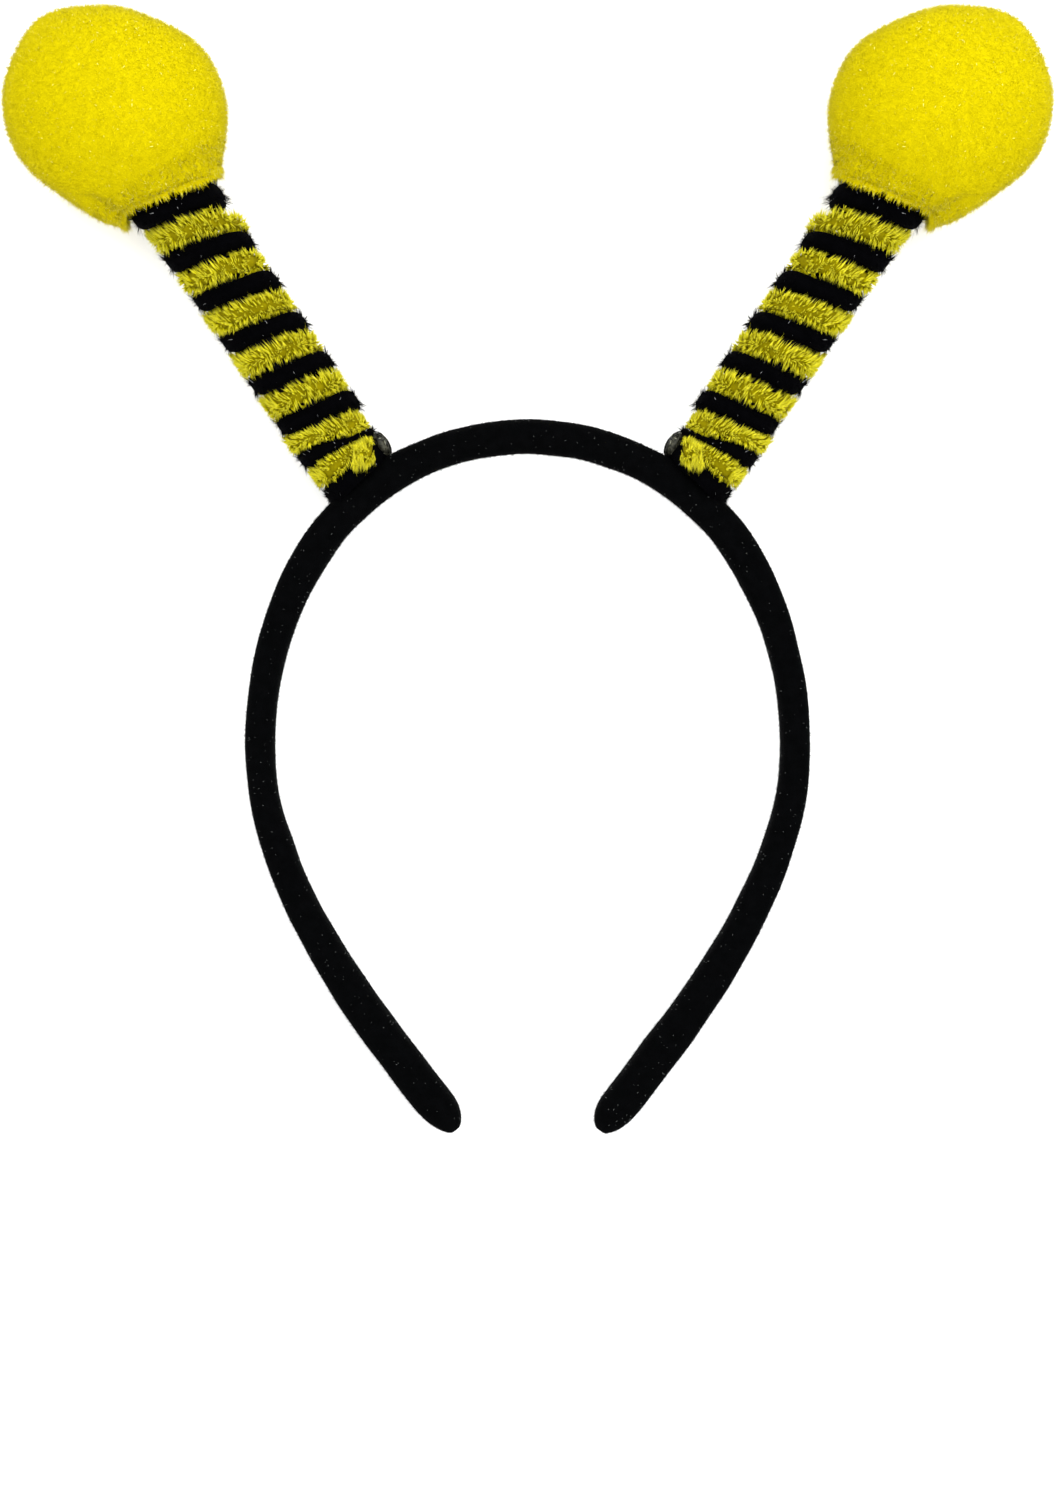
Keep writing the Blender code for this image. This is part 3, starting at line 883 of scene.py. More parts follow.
@dataclass(frozen=True)
class Band:
    """The hoop: padded, wrapped in black pile cloth, with leaf-shaped tips."""

    rig: Rig
    rows: tuple[BandRow, ...] = (
        BandRow(side=0.0, up=165.9, thick=8.3),
        BandRow(side=17.4, up=163.5, thick=8.1),
        BandRow(side=33.2, up=156.4, thick=8.4),
        BandRow(side=46.0, up=145.0, thick=8.4),
        BandRow(side=55.0, up=130.7, thick=8.2),
        BandRow(side=60.6, up=115.1, thick=7.4),
        BandRow(side=63.2, up=98.8, thick=7.0),
        BandRow(side=62.7, up=82.0, thick=7.1),
        BandRow(side=58.2, up=65.2, thick=7.6),
        BandRow(side=50.4, up=48.3, thick=8.1),
        BandRow(side=39.4, up=30.5, thick=8.8),
        BandRow(side=26.7, up=13.2, thick=9.1),
        BandRow(side=17.2, up=0.5, thick=9.1),
    )
    half_depth: float = 6.0 * MM
    outer_round: float = 13.0 * MM
    inner_round: float = 7.0 * MM
    depth_round: float = 9.0 * MM
    last_section: float = 0.3 * MM
    roundness: float = 0.6
    sections: int = 420
    tip_crowding: float = 1.6
    sides: int = 28
    probe: float = 0.5 * MM
    wave_seed: int = 11
    wave: float = 0.12 * MM
    wave_length: float = 16.0 * MM
    seed: int = 101
    fibres: int = 26000
    fibre_root: float = 0.08 * MM
    fibre_length: float = 0.55 * MM
    fibre_spread: tuple[float, float] = (0.5, 1.25)
    fibre_width: float = 0.11 * MM
    tangle: float = 0.6
    comb: float = 0.4
    rise: float = 0.3

    def skin(self) -> Array:
        """Rings of the cloth's surface in the frame, from the left tip to the right one."""
        left = tuple(BandRow(-row.side, row.up, row.thick) for row in self.rows[:0:-1])
        rows = left + self.rows
        spots = np.array([(row.side, row.up) for row in rows]) * MM
        steps = np.linalg.norm(np.diff(spots, axis=0), axis=1)
        places = np.concatenate(((0.0,), np.cumsum(steps)))
        table = SmoothTable(rows, places)
        length = places[-1]
        share = np.linspace(-1.0, 1.0, self.sections)
        crowded = np.sign(share) * (1.0 - (1.0 - np.abs(share)) ** self.tip_crowding)
        at = 0.5 * length + crowded * (0.5 * length - self.last_section)
        ahead, behind, centre = (
            np.stack([table.read(name, at + step) for name in ("side", "up")], -1) * MM
            for step in (self.probe, -self.probe, 0.0)
        )
        way = unit(ahead - behind)
        outward = np.stack((-way[:, 1], way[:, 0]), -1)
        half = 0.5 * table.read("thick", at) * MM
        to_tip = np.minimum(at, length - at)
        angle = ring_angles(self.sides, 0.5)
        across = signed_power(np.cos(angle), self.roundness)
        front = signed_power(np.sin(angle), self.roundness)
        reach_out = half * quarter_round(to_tip, self.outer_round)
        reach_in = half * quarter_round(to_tip, self.inner_round)
        reach_side = np.where(across > 0.0, reach_out[:, None], reach_in[:, None]) * across
        depth = self.half_depth * quarter_round(to_tip, self.depth_round)
        flat = centre[:, None] + outward[:, None] * reach_side[..., None]
        grid = np.concatenate((flat, (depth[:, None] * front)[..., None]), axis=-1)
        middle = grid.mean(axis=1, keepdims=True)
        swell = Ripple(self.wave_seed, self.wave_length).at(grid) * self.wave
        return self.rig.from_hoop(grid + unit(grid - middle) * swell[..., None])

    def build(self) -> bpy.types.Object:
        """Builds the cloth with its pile, and dresses it."""
        rng = np.random.default_rng(self.seed)
        grid = self.skin()
        shape = Shape()
        shape.add_skin(grid)
        seeds = scatter(grid, self.fibres, rng)
        lean = rng.normal(size=seeds.points.shape) * self.tangle
        way = unit(seeds.normals + lean + self.comb * seeds.headings)
        way = unit(way + seeds.normals * self.rise)
        long = self.fibre_length * rng.uniform(*self.fibre_spread, (self.fibres, 1))
        roots = seeds.points - seeds.normals * self.fibre_root
        tips = seeds.points + way * long
        tips[:, 2] = np.maximum(tips[:, 2], 0.0)
        widths = varied(self.fibre_width, self.fibres, rng)
        shape.add_fibres(roots, tips, widths, rng.random(self.fibres), rng)
        piece = shape.make("band_cloth", BLACK_CLOTH.make(), BLACK_PILE.make())
        finish_piece(piece, "band")
        return piece


class TurnRow(NamedTuple):
    """The black stem where it crosses the antenna's front, in millimetres.

    height is above the seat on the band, half is half of the stem's own height, outer is its
    outer radius, lean is how much higher it lies for each millimetre outwards, and bulge is
    how much further out it reaches on the outer side than on the front.
    """

    turn: float
    height: float
    half: float
    outer: float = 9.6
    lean: float = 0.0
    bulge: float = -0.3


TURN_ROWS = (
    TurnRow(turn=-0.35, height=1.0, half=1.5, outer=8.5, lean=-0.22, bulge=0.5),
    TurnRow(turn=0.0, height=1.9, half=1.5, outer=8.5, lean=-0.22, bulge=0.5),
    TurnRow(turn=0.35, height=3.2, half=1.5, outer=8.6, lean=-0.18, bulge=0.4),
    TurnRow(turn=0.75, height=7.4, half=0.5, outer=9.0, bulge=0.3),
    TurnRow(turn=0.93, height=8.7, half=0.6, outer=9.2, bulge=0.2),
    TurnRow(turn=1.0, height=9.6, half=1.2, outer=9.2, bulge=0.2),
    TurnRow(turn=1.08, height=10.4, half=1.6, outer=9.3, bulge=0.1),
    TurnRow(turn=1.25, height=10.8, half=2.0, bulge=0.0),
    TurnRow(turn=1.75, height=16.1, half=2.5, bulge=-0.2),
    TurnRow(turn=2.0, height=18.4, half=2.2),
    TurnRow(turn=2.25, height=20.4, half=2.1),
    TurnRow(turn=2.75, height=27.3, half=2.3),
    TurnRow(turn=3.0, height=29.6, half=2.3),
    TurnRow(turn=3.25, height=31.6, half=2.3),
    TurnRow(turn=3.75, height=38.1, half=2.5),
    TurnRow(turn=4.0, height=41.2, half=2.4),
    TurnRow(turn=4.25, height=43.8, half=2.4),
    TurnRow(turn=4.75, height=49.6, half=2.7),
    TurnRow(turn=5.0, height=52.8, half=2.4),
    TurnRow(turn=5.25, height=55.3, half=2.4),
    TurnRow(turn=5.75, height=60.7, half=2.4, outer=9.7),
    TurnRow(turn=6.0, height=64.2, half=2.4, outer=9.8),
    TurnRow(turn=6.25, height=66.7, half=2.8, outer=10.0, bulge=-0.2),
    TurnRow(turn=6.75, height=73.8, half=3.2, outer=10.6, bulge=0.2),
    TurnRow(turn=7.0, height=76.7, half=3.0, outer=10.8, bulge=0.2),
    TurnRow(turn=7.25, height=79.2, half=2.7, outer=10.8, bulge=0.1),
    TurnRow(turn=7.5, height=82.0, half=2.8, outer=10.6, bulge=0.0),
    TurnRow(turn=7.8, height=83.0, half=2.8, outer=10.6, bulge=0.0),
)
TURNS = SmoothTable(TURN_ROWS, [row.turn for row in TURN_ROWS])


class Stem(Enum):
    """Which stretch of chenille a winding is."""

    BLACK = "black_stem"
    YELLOW = "yellow_stem"
    TUFT = "end_tuft"


@dataclass(frozen=True)
class Pile:
    """How the fibres of a chenille stem stand round its twisted wire.

    They fan out from the wire in fine locks on both sides of a parting, gathered in clumps
    that all lean one way along the stem. Depths, reaches and the parting are shares of the
    stem's half section.
    """

    fibres: int
    locks: int
    width: float
    thickest: float
    root_depth: float
    reach: float
    corner: float
    gather_below: float
    ragged: float
    stray_share: float
    gather_above: float = 0.15
    parting: float = 0.0
    zigzag: float = 0.10
    root_parting: float = 0.12
    clump: float = 1.25 * MM
    clump_jitter: float = 0.2
    twist: float = 0.9 * MM
    twist_spread: tuple[float, float] = (0.2, 1.8)
    twist_at_parting: float = 0.3
    ragged_limits: tuple[float, float] = (-2.0, 1.5)
    uneven: float = 0.05
    stray_reach: float = 0.25
    stray_width: float = 0.45
    lock_spread: float = 0.06 * MM
    lock_tip_spread: float = 0.6
    lock_fan: float = 0.05
    lock_tone: float = 0.6
    # Painted highlight: how far fibres towards the upper edge are raised in shade, the rest
    # lowered
    upper_edge_highlight: float = 0.2
    past_end: float = 0.004


@dataclass(frozen=True)
class Winding:
    """A chenille stem wound round the antenna's core."""

    rig: Rig
    stem: Stem
    first: float
    last: float
    pile: Pile
    ground: GroundFinish
    fibre: FibreFinish
    seed: int
    proud: float = 0.0
    inner_bulge: float = 0.0
    inner_radius: float = 5.0 * MM
    overlap: float = 0.2 * MM
    end_gap: float = -0.3 * MM
    end_growth: float = 1.1 * MM
    slant: float = 0.0
    foot_turn: float = 0.55
    foot_fade: float = 0.2
    foot_reach: float = 1.7 * MM
    swell_turn: float = 5.72
    swell_spread: float = 0.07
    swell_out: float = 1.2 * MM
    swell_down: float = 3.2 * MM
    tuft_low: float = 1.0 * MM
    tuft_high: float = 7.4 * MM
    skin_scale: float = 0.84
    squareness: float = 0.85
    steps: int = 48
    sides: int = 14
    end_round: float = 2.4 * MM
    end_size: float = 0.35

    def edge(self, turn: Array, outwards: Array, side: int) -> Array:
        """Height of the black stem's upper (side 1) or lower (side -1) edge."""
        middle = TURNS.read("height", turn) * MM + TURNS.read("lean", turn) * outwards
        return middle + side * TURNS.read("half", turn) * MM

    def swell(self, turn: Array) -> Array:
        """Share of the yellow stem's swelling where a loop of it stands out near the ball."""
        if self.stem is not Stem.YELLOW:
            return np.zeros_like(turn)
        return bell(turn - self.swell_turn, self.swell_spread)

    def span(self, turn: Array, outwards: Array) -> tuple[Array | float, Array | float]:
        """Lower and upper edge of this stem's pile.

        Args:
            turn: turns from the front of the antenna's foot.
            outwards: distance from the antenna's axis towards the outer side.

        Returns:
            The two heights above the seat.
        """
        to_side = np.sin(2.0 * math.pi * turn) ** 2
        if self.stem is Stem.BLACK:
            foot = self.foot_reach * np.clip((self.foot_turn - turn) / self.foot_fade, 0.0, 1.0)
            more = self.end_growth * to_side
            return self.edge(turn, outwards, -1) - foot - more, self.edge(turn, outwards, 1) + more
        if self.stem is Stem.TUFT:
            return self.tuft_low, self.tuft_high
        over = self.overlap * (1.0 - to_side) - self.end_gap * to_side
        seat = self.rig.pompom_seat + self.rig.pompom_slope * outwards
        roof = np.minimum(self.edge(turn + 1.0, outwards, -1) + over, seat)
        return self.edge(turn, outwards, 1) - over, roof - self.swell_down * self.swell(turn)

    def outer_radius(self, turn: Array) -> Array:
        """The stem's outer radius about the antenna's axis."""
        to_outer = np.sin(2.0 * math.pi * turn)
        bulge = TURNS.read("bulge", turn) * to_outer
        radius = (TURNS.read("outer", turn) + bulge) * MM + self.proud
        radius += self.inner_bulge * np.maximum(-to_outer, 0.0) ** 2
        return radius + self.swell_out * self.swell(turn)

    def place(self, turn: Array, radial: Array, upright: Array) -> Array:
        """Points in the stem's section, in the antenna's own axes.

        Args:
            turn: turns along the stem.
            radial: -1 at the stem's inner side and 1 at its outer side.
            upright: -1 at its lower edge and 1 at its upper edge.

        Returns:
            Coordinates outwards, up the antenna and out of the front.
        """
        angle = 2.0 * math.pi * (turn - self.slant * upright)
        outer = self.outer_radius(turn)
        to_end = np.minimum(turn - self.first, self.last - turn) * 2.0 * math.pi * outer
        closing = self.end_size + (1.0 - self.end_size) * quarter_round(to_end, self.end_round)
        half = 0.5 * (outer - self.inner_radius)
        radius = self.inner_radius + half + half * radial * closing
        outwards = radius * np.sin(angle)
        low, high = self.span(turn, outwards)
        height = 0.5 * (low + high) + 0.5 * (high - low) * upright * closing
        return np.stack((outwards, height, radius * np.cos(angle)), -1)

    def skin(self) -> Array:
        """Rings of the twisted ground, in the antenna's own axes."""
        count = round((self.last - self.first) * self.steps) + 2
        turn = np.linspace(self.first, self.last, count)[:, None]
        around = ring_angles(self.sides)[None]
        radial, upright = (
            self.skin_scale * signed_power(share, self.squareness)
            for share in (np.cos(around), np.sin(around))
        )
        return self.place(turn, radial, upright)

    def strands(self, rng: np.random.Generator) -> Strands:
        """Fans the fibres out from the wire.

        Args:
            rng: draws them.

        Returns:
            The fibres.
        """
        pile = self.pile
        count = pile.fibres
        turns = self.last - self.first
        length = turns * 2.0 * math.pi * float(self.outer_radius(np.array(self.first + turns / 2)))
        clumps = max(round(length / pile.clump), 1)
        jitter = rng.uniform(-pile.clump_jitter, pile.clump_jitter, (2, clumps))
        heart = (np.arange(clumps) + 0.5 + jitter) / clumps
        parting = pile.parting + pile.zigzag * rng.normal(size=(2, clumps))
        spot = (np.arange(pile.locks) + rng.random(pile.locks)) / pile.locks
        side = rng.integers(2, size=pile.locks)
        clump = np.minimum((spot * clumps).astype(int), clumps - 1)
        heart, parting = heart[side, clump], parting[side, clump]
        above = side == 1
        inner = 0.5 - 0.5 * np.sin(2.0 * math.pi * (self.first + turns * heart))
        gather = np.where(above, pile.gather_above, pile.gather_below * inner)
        root_spot = spot + gather * (heart - spot)
        fan = rng.random(pile.locks)
        twist = pile.twist * rng.uniform(*pile.twist_spread, pile.locks) / length
        tip_spot = spot + twist * (pile.twist_at_parting + fan)
        swell = 1.0 + pile.uneven * rng.normal(size=pile.locks)
        tone = rng.random(pile.locks)
        lock = rng.integers(pile.locks, size=count)
        root_spot, tip_spot, parting, above, fan, swell, tone = (
            x[lock] for x in (root_spot, tip_spot, parting, above, fan, swell, tone)
        )
        way = np.where(above, 1.0, -1.0)
        spread = pile.lock_spread * rng.normal(size=(2, count)) / length
        fan = (fan + pile.lock_fan * rng.normal(size=count)).clip(0.0, 1.0)
        upright = parting + way * fan * pile.reach
        radial = (1.0 - np.abs(upright).clip(0.0, 1.0) ** pile.corner) ** (1.0 / pile.corner)
        radial -= (np.abs(upright) - 1.0).clip(0.0)
        upright = np.sign(upright) * np.minimum(np.abs(upright), 1.0)
        root_turn, tip_turn = (
            self.first + turns * share.clip(-pile.past_end, 1.0 + pile.past_end)
            for share in (root_spot + spread[0], tip_spot + pile.lock_tip_spread * spread[1])
        )
        long = swell * (1.0 + pile.ragged * rng.normal(size=count).clip(*pile.ragged_limits))
        stray = rng.random(count) < pile.stray_share
        long += stray * pile.stray_reach * rng.random(count)
        depth = np.full(count, pile.root_depth)
        roots = self.place(root_turn, depth, parting + pile.root_parting * way)
        tips = self.place(tip_turn, long * radial, long * upright)
        shade = pile.lock_tone * tone + (1.0 - pile.lock_tone) * rng.random(count)
        # Painted highlight: fibres fanned to the upper edge get more shade and the rest less, so
        # only upper tips take the pale glint
        shade += pile.upper_edge_highlight * (np.where(above, fan, 0.0) ** 2 - shade)
        widths = varied(pile.width, count, rng) * np.where(stray, pile.stray_width, 1.0)
        return Strands(roots, tips, widths, shade)

    def grow(self, shape: Shape, hand: Hand) -> None:
        """Adds the stem's ground and fibres to a shape.

        Args:
            shape: the mesh in the making.
            hand: the antenna's side.
        """
        rng = np.random.default_rng(self.seed)
        grid = self.rig.from_antenna(self.skin(), hand)
        shape.add_skin(grid)
        shape.add_strands(self.strands(rng), self.rig, hand, rng, self.pile.thickest)


def build_stem(windings: tuple[Winding, ...], hand: Hand) -> bpy.types.Object:
    """Builds one stem from its stretches and dresses it.

    Args:
        windings: its stretches, the whole winding first.
        hand: the antenna's side.

    Returns:
        The new piece.
    """
    shape = Shape()
    for winding in windings:
        winding.grow(shape, hand)
    whole = windings[0]
    node = f"{whole.stem.value}_{hand.word}"
    piece = shape.make(f"{node}_chenille", whole.ground.make(), whole.fibre.make())
    finish_piece(piece, node)
    return piece


class LobeRow(NamedTuple):
    """A swelling or hollow of the ball.

    angle is its direction in the plane of the hoop, in degrees from up towards the outer
    side, front is how far it turns to the front, lift is in millimetres and spread is the
    angle in degrees over which it fades.
    """

    angle: float
    front: float
    lift: float
    spread: float


@dataclass(frozen=True)
class Pompom:
    """A ball of short dense plush that sits on the antenna's last black turn."""

    rig: Rig
    lobes: tuple[LobeRow, ...] = (
        LobeRow(angle=40, front=0, lift=1.8, spread=11),
        LobeRow(angle=65, front=0, lift=3.6, spread=35),
        LobeRow(angle=-129, front=0, lift=2.5, spread=11),
        LobeRow(angle=189, front=0, lift=2.1, spread=13),
        LobeRow(angle=-22, front=0, lift=-1.6, spread=17),
        LobeRow(angle=141, front=0, lift=-1.6, spread=13),
        LobeRow(angle=-68, front=0, lift=-0.3, spread=12),
        LobeRow(angle=0, front=-90, lift=0.8, spread=30),
    )
    side: float = -1.15 * MM
    up: float = 101.8 * MM
    radius: float = 24.9 * MM
    seat_radius: float = 11.6 * MM
    seat_blend: float = 5.0 * MM
    seat_blend_at_sides: float = 1.5 * MM
    crease_ends: tuple[tuple[float, float], ...] = ((16.0 * MM, 89.0 * MM), (10.5 * MM, 80.5 * MM))
    crease_depth: float = 1.3 * MM
    crease_spread: float = 5.0
    crease_fade: float = 2.0
    seed: int = 301
    pile: float = 0.5 * MM
    rows: int = 72
    sides: int = 112
    pole_gap: float = 0.02
    floor_gap: float = 0.4 * MM
    fibres: int = 32500
    fibre_width: float = 0.16 * MM
    fibre_lean: float = 0.6 * MM
    fibre_rise: float = 0.25 * MM
    cut_share: float = 0.5
    softness: float = 0.8
    fringe: int = 3000
    fringe_tufts: int = 800
    fringe_length: float = 2.0 * MM
    fringe_width: float = 0.13 * MM
    ruffle: int = 3000
    ruffle_reach: float = 7.0 * MM
    ruffle_length: float = 1.5 * MM
    ruffle_width: float = 0.17 * MM
    ruffle_softness: float = 0.9
    ruffle_tangle: float = 0.65
    fuzz: int = 7200
    fuzz_length: float = 1.4 * MM
    fuzz_width: float = 0.11 * MM
    fuzz_highlight: float = 0.12

    def crease(self, way: Array) -> Array:
        """How deep the fold above the low lobe is in directions of the antenna's own axes."""
        ends = []
        for out, up in self.crease_ends:
            flat = np.array((out - self.side, up - self.up, 0.0))
            front = math.sqrt(max(self.radius**2 - flat @ flat, 0.0))
            ends.append(unit(flat + (0.0, 0.0, front)))
        pole = unit(np.cross(*ends))
        away = np.degrees(np.arcsin((way @ pole).clip(-1.0, 1.0)))
        middle = unit(ends[0] + ends[1])
        reach = math.degrees(math.acos(float(ends[0] @ middle)))
        along = np.degrees(np.arccos((way @ middle).clip(-1.0, 1.0)))
        fade = 1.0 / (1.0 + np.exp((along - reach) / self.crease_fade))
        return self.crease_depth * fade * bell(away, self.crease_spread)

    def lift(self, way: Array) -> Array:
        """How far the ball swells in directions of the antenna's own axes."""
        cos, sin = math.cos(self.rig.lean), math.sin(self.rig.lean)
        out, up, front = np.moveaxis(way, -1, 0)
        turned = np.stack((out * cos + up * sin, -out * sin + up * cos, front), -1)
        total = np.zeros(way.shape[:-1])
        for row in self.lobes:
            angle, tip = math.radians(row.angle), math.radians(row.front)
            centre = np.array((
                math.sin(angle) * math.cos(tip), math.cos(angle) * math.cos(tip), math.sin(tip),
            ))
            away = np.degrees(np.arccos((turned @ centre).clip(-1.0, 1.0)))
            total += row.lift * MM * bell(away, row.spread)
        return total

    def free(self, way: Array, sunk: Array | float) -> Array:
        """Points of the ball before the antenna presses it, by direction and depth."""
        reach = self.radius + self.lift(way) - self.crease(way) - sunk
        return np.array((self.side, self.up, 0.0)) + way * reach[..., None]

    def surface(self, way: Array, sunk: Array | float) -> Array:
        """Points of the ball in the antenna's own axes.

        Args:
            way: directions from the ball's centre.
            sunk: how far the points lie under the tips of the pile.

        Returns:
            The points, flattened where the antenna presses the ball.
        """
        points = self.free(way, sunk)
        out, up, front = np.moveaxis(points, -1, 0)
        seat = self.rig.pompom_seat + self.rig.pompom_slope * out + np.asarray(sunk) * 0.5
        from_axis = np.hypot(out, front)
        to_side = ((np.abs(out) / np.maximum(from_axis, 1e-6) - 0.7) / 0.25).clip(0.0, 1.0)
        width = self.seat_blend + (self.seat_blend_at_sides - self.seat_blend) * to_side
        blend = 1.0 - ((from_axis - self.seat_radius) / width).clip(0.0, 1.0)
        blend = np.where(up < self.up, blend**2 * (3.0 - 2.0 * blend), 0.0)
        up = up + blend * (seat - up)
        return np.stack((out, up, front), -1)

    def facing(self, way: Array) -> Array:
        """Which way the ball's surface faces in directions from its centre."""
        here = self.free(way, 0.0)
        ahead, beside = (
            self.free(unit(way + 0.01 * tangent), 0.0) - here
            for tangent in crosswise(way, (0.0, 1.0, 0.0))
        )
        return unit(np.cross(ahead, beside))

    def skin(self) -> Array:
        """Rings of the backing, in the antenna's own axes, from the seat to the top."""
        return self.surface(globe(self.rows, self.sides, self.pole_gap), self.pile)

    def plush(self, rng: np.random.Generator) -> Strands:
        """The dense pile, spread evenly over the ball."""
        number = np.arange(self.fibres) + 0.5
        turn = GOLDEN_ANGLE * number
        up = 1.0 - 2.0 * number / self.fibres
        ring = np.sqrt(1.0 - up**2)
        way = np.stack((ring * np.sin(turn), up, ring * np.cos(turn)), -1)
        way = unit(way + rng.normal(size=way.shape) * 0.006)
        tip_way = unit(way + rng.normal(size=way.shape) * self.fibre_lean / self.radius)
        rise = self.fibre_rise * rng.normal(size=self.fibres).clip(-1.5, 1.5)
        return Strands(
            self.surface(way, self.pile * 1.12), self.surface(tip_way, -rise),
            varied(self.fibre_width, self.fibres, rng), rng.random(self.fibres),
            self.facing(tip_way),
        )

    def underside(self, around: Array, from_axis: Array) -> Array:
        """Directions from the centre to points of the underside.

        Args:
            around: angles about the antenna's axis, from the front towards the outer side.
            from_axis: the points' distances from the antenna's axis.

        Returns:
            The directions.
        """
        out, front = from_axis * np.sin(around) - self.side, from_axis * np.cos(around)
        return unit(np.stack((out, -np.sqrt(self.radius**2 - out**2 - front**2), front), -1))

    def hanging(self, rng: np.random.Generator) -> Strands:
        """The longer pile round the seat, whose tufts hang over the black turn."""
        tuft = rng.integers(self.fringe_tufts, size=self.fringe)
        heart = (np.arange(self.fringe_tufts) + rng.random(self.fringe_tufts))[tuft]
        heart *= 2.0 * math.pi / self.fringe_tufts
        length = self.fringe_length * rng.uniform(0.1, 1.3, self.fringe_tufts)[tuft]
        swing = (rng.normal(size=self.fringe_tufts) * 0.35)[tuft]
        off = rng.normal(size=self.fringe) * 0.15 * MM / self.seat_radius
        way = self.underside(heart + off, self.seat_radius + rng.uniform(0.0, 1.6 * MM, len(off)))
        roots = self.surface(way, 0.2 * MM)
        along = heart + 0.3 * off + swing * length / self.seat_radius
        radius = np.hypot(roots[:, 0], roots[:, 2]) + 0.15 * length
        tips = np.stack((
            radius * np.sin(along), roots[:, 1] - length * rng.uniform(0.7, 1.1, len(off)),
            radius * np.cos(along),
        ), -1)
        spoke = np.stack((np.sin(along), np.zeros(len(off)), np.cos(along)), -1)
        # The fringe's shade is kept high: brighter than the plush, with a tenth of its tips in
        # painted highlight
        return Strands(
            roots, tips, varied(self.fringe_width, self.fringe, rng),
            0.8 + 0.2 * rng.random(self.fringe), unit(spoke + 0.5 * self.facing(way)),
        )

    def ruffled(self, rng: np.random.Generator) -> Strands:
        """Ruffled pile above the seat, combed towards it, whose sides catch the light."""
        around = rng.random(self.ruffle) * 2.0 * math.pi
        beyond = self.ruffle_reach * rng.random(self.ruffle) ** 1.5
        way = self.underside(around, self.seat_radius + beyond)
        long = self.ruffle_length * rng.uniform(0.5, 1.2, (self.ruffle, 1))
        comb = np.array((0.0, -0.7, 0.0)) + rng.normal(size=way.shape) * 0.5
        roots, facing = self.surface(way, 0.3 * MM), self.facing(way)
        comb -= facing * ((comb * facing).sum(axis=1, keepdims=True) - 0.35)
        # A quarter of these fibres get full shade and so a painted highlight at their tips
        return Strands(
            roots, roots + unit(comb) * long, varied(self.ruffle_width, self.ruffle, rng),
            (2.0 * rng.random(self.ruffle) - 0.5).clip(0.0, 1.0),
            unit(facing + self.ruffle_tangle * rng.normal(size=way.shape)),
        )

    def stray(self, rng: np.random.Generator) -> Strands:
        """The fine fuzz that stands beyond the pile and softens the outline."""
        way = unit(rng.normal(size=(self.fuzz, 3)))
        tip_way = unit(way + rng.normal(size=way.shape) * 0.02)
        beyond = self.fuzz_length * rng.uniform(0.3, 1.0, self.fuzz)
        shade = 0.5 + 0.5 * rng.random(self.fuzz)
        # Painted highlight: a share of the fuzz gets full shade and takes the pale glint, as a
        # pale rim and sparkle
        shade[rng.random(self.fuzz) < self.fuzz_highlight] = 1.0
        return Strands(
            self.surface(way, self.pile), self.surface(tip_way, -beyond),
            np.full(self.fuzz, self.fuzz_width), shade, self.facing(tip_way),
        )

    def build(self, hand: Hand) -> bpy.types.Object:
        """Builds the ball with its pile, and dresses it.

        Args:
            hand: the antenna's side.

        Returns:
            The new piece.
        """
        rng = np.random.default_rng(self.seed)
        shape = Shape()
        grid = self.rig.from_antenna(self.skin(), hand)
        grid[..., 2] = np.maximum(grid[..., 2], self.floor_gap)
        shape.add_skin(grid)
        plush = self.plush(rng)
        cut = rng.random(self.fibres) < self.cut_share
        for strands, thickest, softness in (
            (plush.chosen(cut), 1.0, self.softness), (plush.chosen(~cut), 0.0, self.softness),
            (self.hanging(rng), 0.0, self.ruffle_softness),
            (self.ruffled(rng), 0.0, self.ruffle_softness),
            (self.stray(rng), 0.0, self.softness),
        ):
            shape.add_strands(strands, self.rig, hand, rng, thickest, softness)
        name = f"pompom_{hand.word}"
        piece = shape.make(f"{name}_plush", YELLOW_BACKING.make(), YELLOW_PLUSH.make())
        finish_piece(piece, name)
        return piece


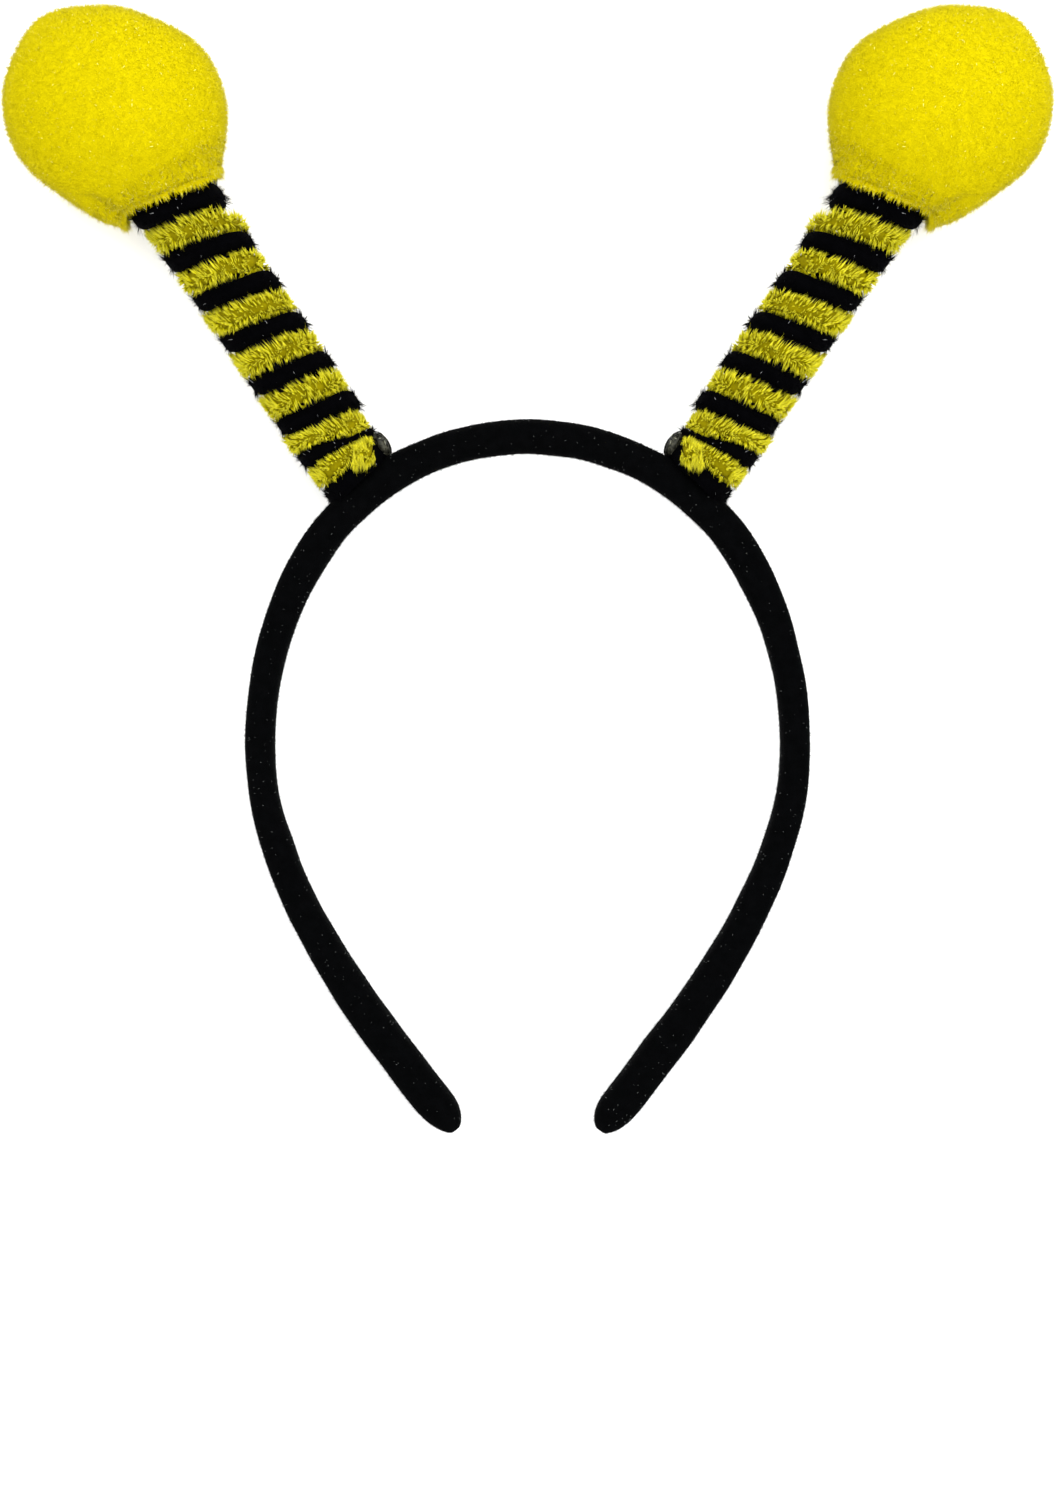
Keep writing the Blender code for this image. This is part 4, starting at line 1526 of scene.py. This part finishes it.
@dataclass(frozen=True)
class GlueBlob:
    """A set drop of glue between the antenna's inner side and the band, with hairs in it."""

    rig: Rig
    centre: tuple[float, float, float] = (-8.8 * MM, 3.8 * MM, 0.5 * MM)
    half_size: tuple[float, float, float] = (1.7 * MM, 3.3 * MM, 2.7 * MM)
    seed: int = 401
    rows: int = 24
    sides: int = 32
    pole_gap: float = 0.03
    lump_seed: int = 41
    lump: float = 0.03
    lump_length: float = 2.4
    hairs: int = 170
    rim_hairs: int = 60
    rim_flatness: float = 0.15
    hair_reach: float = 0.8
    hair_lift: float = 1.07
    hair_width: float = 0.22 * MM

    def build(self, hand: Hand) -> bpy.types.Object:
        """Builds the drop and its hairs.

        Args:
            hand: the antenna's side.

        Returns:
            The new piece.
        """
        rng = np.random.default_rng(self.seed)
        way = globe(self.rows, self.sides, self.pole_gap)
        centre, half = np.array(self.centre), np.array(self.half_size)
        swell = 1.0 + self.lump * Ripple(self.lump_seed, self.lump_length).at(way)
        shape = Shape()
        grid = self.rig.from_antenna(centre + way * half * swell[..., None], hand)
        shape.add_skin(grid)
        start, reach = rng.normal(size=(2, self.hairs, 3))
        start[:self.rim_hairs, 2] *= self.rim_flatness
        reach[:self.rim_hairs, 2] *= self.rim_flatness
        start = unit(start)
        stop = unit(start + self.hair_reach * reach)
        belly = unit(start + stop) - 0.5 * (start + stop)
        half = half * self.hair_lift
        start, stop = (self.rig.from_antenna(centre + x * half, hand) for x in (start, stop))
        shape.add_fibres(
            start, stop, np.full(self.hairs, self.hair_width), rng.random(self.hairs), rng,
            thickest=0.5, bend=self.rig.turned(belly * half, hand),
        )
        name = f"glue_{hand.word}"
        piece = shape.make(f"{name}_drop", GlueFinish().make(), GLUE_HAIR.make())
        finish_piece(piece, name)
        return piece


@dataclass(frozen=True)
class Antenna:
    """One antenna: its hidden core, two windings, ball and glue."""

    rig: Rig
    hand: Hand

    def build(self) -> None:
        """Builds the antenna's pieces in order."""
        black = Winding(
            rig=self.rig, stem=Stem.BLACK, first=-0.3125, last=7.3125, seed=210,
            ground=BLACK_TWIST, fibre=BLACK_CHENILLE, skin_scale=0.8, proud=0.35 * MM,
            inner_bulge=0.6 * MM,
            pile=Pile(
                fibres=15000, locks=7000, width=0.2 * MM, thickest=0.0, root_depth=0.5,
                reach=1.6, gather_below=0.2, corner=8.0, twist=0.4 * MM, ragged=0.14,
                uneven=0.10, stray_share=0.08, stray_reach=0.4, lock_tone=0.0, upper_edge_highlight=0.0,
            ),
        )
        yellow_pile = Pile(
            fibres=22000, locks=7500, width=0.24 * MM, thickest=0.6, root_depth=0.4,
            reach=1.5, parting=-0.15, zigzag=0.25, ragged=0.08, corner=4.0, stray_share=0.2,
            gather_below=0.75,
        )
        yellow = Winding(
            rig=self.rig, stem=Stem.YELLOW, first=-0.25, last=6.6875, proud=0.5 * MM, seed=220,
            ground=SHADED_YELLOW_TWIST, fibre=YELLOW_CHENILLE, skin_scale=0.6, pile=yellow_pile,
        )
        tuft = Winding(
            rig=self.rig, stem=Stem.TUFT, first=-0.134, last=-0.02, proud=2.3 * MM, seed=230,
            inner_radius=7.6 * MM, slant=0.020, ground=SHADED_YELLOW_TWIST, fibre=YELLOW_CHENILLE,
            skin_scale=0.5,
            pile=replace(
                yellow_pile, fibres=1000, locks=400, clump=1.7 * MM, gather_above=0.9,
                gather_below=0.9, ragged=0.15,
            ),
        )
        build_stem((black,), self.hand)
        build_stem((yellow, tuft), self.hand)
        Pompom(self.rig).build(self.hand)
        GlueBlob(self.rig).build(self.hand)
        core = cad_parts[f"core_{self.hand.word}"]
        core.data.materials.clear()
        core.data.materials.append(PlasticFinish().make())
        LOG.info("%s: packed node, dressed", core.name)


@dataclass(frozen=True)
class Studio:
    """The floor, the soft light and the camera over the headband."""

    floor_size: float = 6.0
    camera_place: tuple[float, float, float] = (0.0003, -0.042, 1.1)
    lens: float = 110.0
    sensor: float = 36.0
    sky: float = 1.8
    lamp_size: float = 1.6
    lamp_watts: float = 22.0
    lamp_place: tuple[float, float, float] = (0.35, 0.55, 1.5)

    def build(self) -> None:
        """Lays the floor, lights it and aims the camera straight down."""
        scene = bpy.context.scene
        half = 0.5 * self.floor_size
        mesh = bpy.data.meshes.new("floor")
        corners = [(-half, -half, 0.0), (half, -half, 0.0), (half, half, 0.0), (-half, half, 0.0)]
        mesh.from_pydata(corners, [], [(0, 1, 2, 3)])
        mesh.materials.append(FloorFinish().make())
        floor = bpy.data.objects.new("floor", mesh)
        scene.collection.objects.link(floor)
        world = bpy.data.worlds.new("studio")
        world.use_nodes = True
        world.node_tree.nodes["Background"].inputs["Color"].default_value = (1.0, 1.0, 1.0, 1.0)
        world.node_tree.nodes["Background"].inputs["Strength"].default_value = self.sky
        scene.world = world
        lamp_data = bpy.data.lights.new("soft_box", "AREA")
        lamp_data.shape = "SQUARE"
        lamp_data.size = self.lamp_size
        lamp_data.energy = self.lamp_watts
        lamp = bpy.data.objects.new("soft_box", lamp_data)
        lamp.location = self.lamp_place
        lamp.rotation_euler = (-Vector(self.lamp_place)).to_track_quat("-Z", "Y").to_euler()
        scene.collection.objects.link(lamp)
        camera_data = bpy.data.cameras.new("camera")
        camera_data.lens = self.lens
        camera_data.sensor_width = self.sensor
        camera = bpy.data.objects.new("camera", camera_data)
        camera.location = self.camera_place
        scene.collection.objects.link(camera)
        scene.camera = camera
        scene.view_settings.view_transform = "Standard"


def main() -> None:
    """Builds the headband and the studio."""
    logging.basicConfig(level=logging.INFO, format="%(message)s")
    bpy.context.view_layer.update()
    rig = Rig()
    Band(rig).build()
    for hand in Hand:
        Antenna(rig, hand).build()
    Studio().build()


if __name__ == "__main__":
    main()
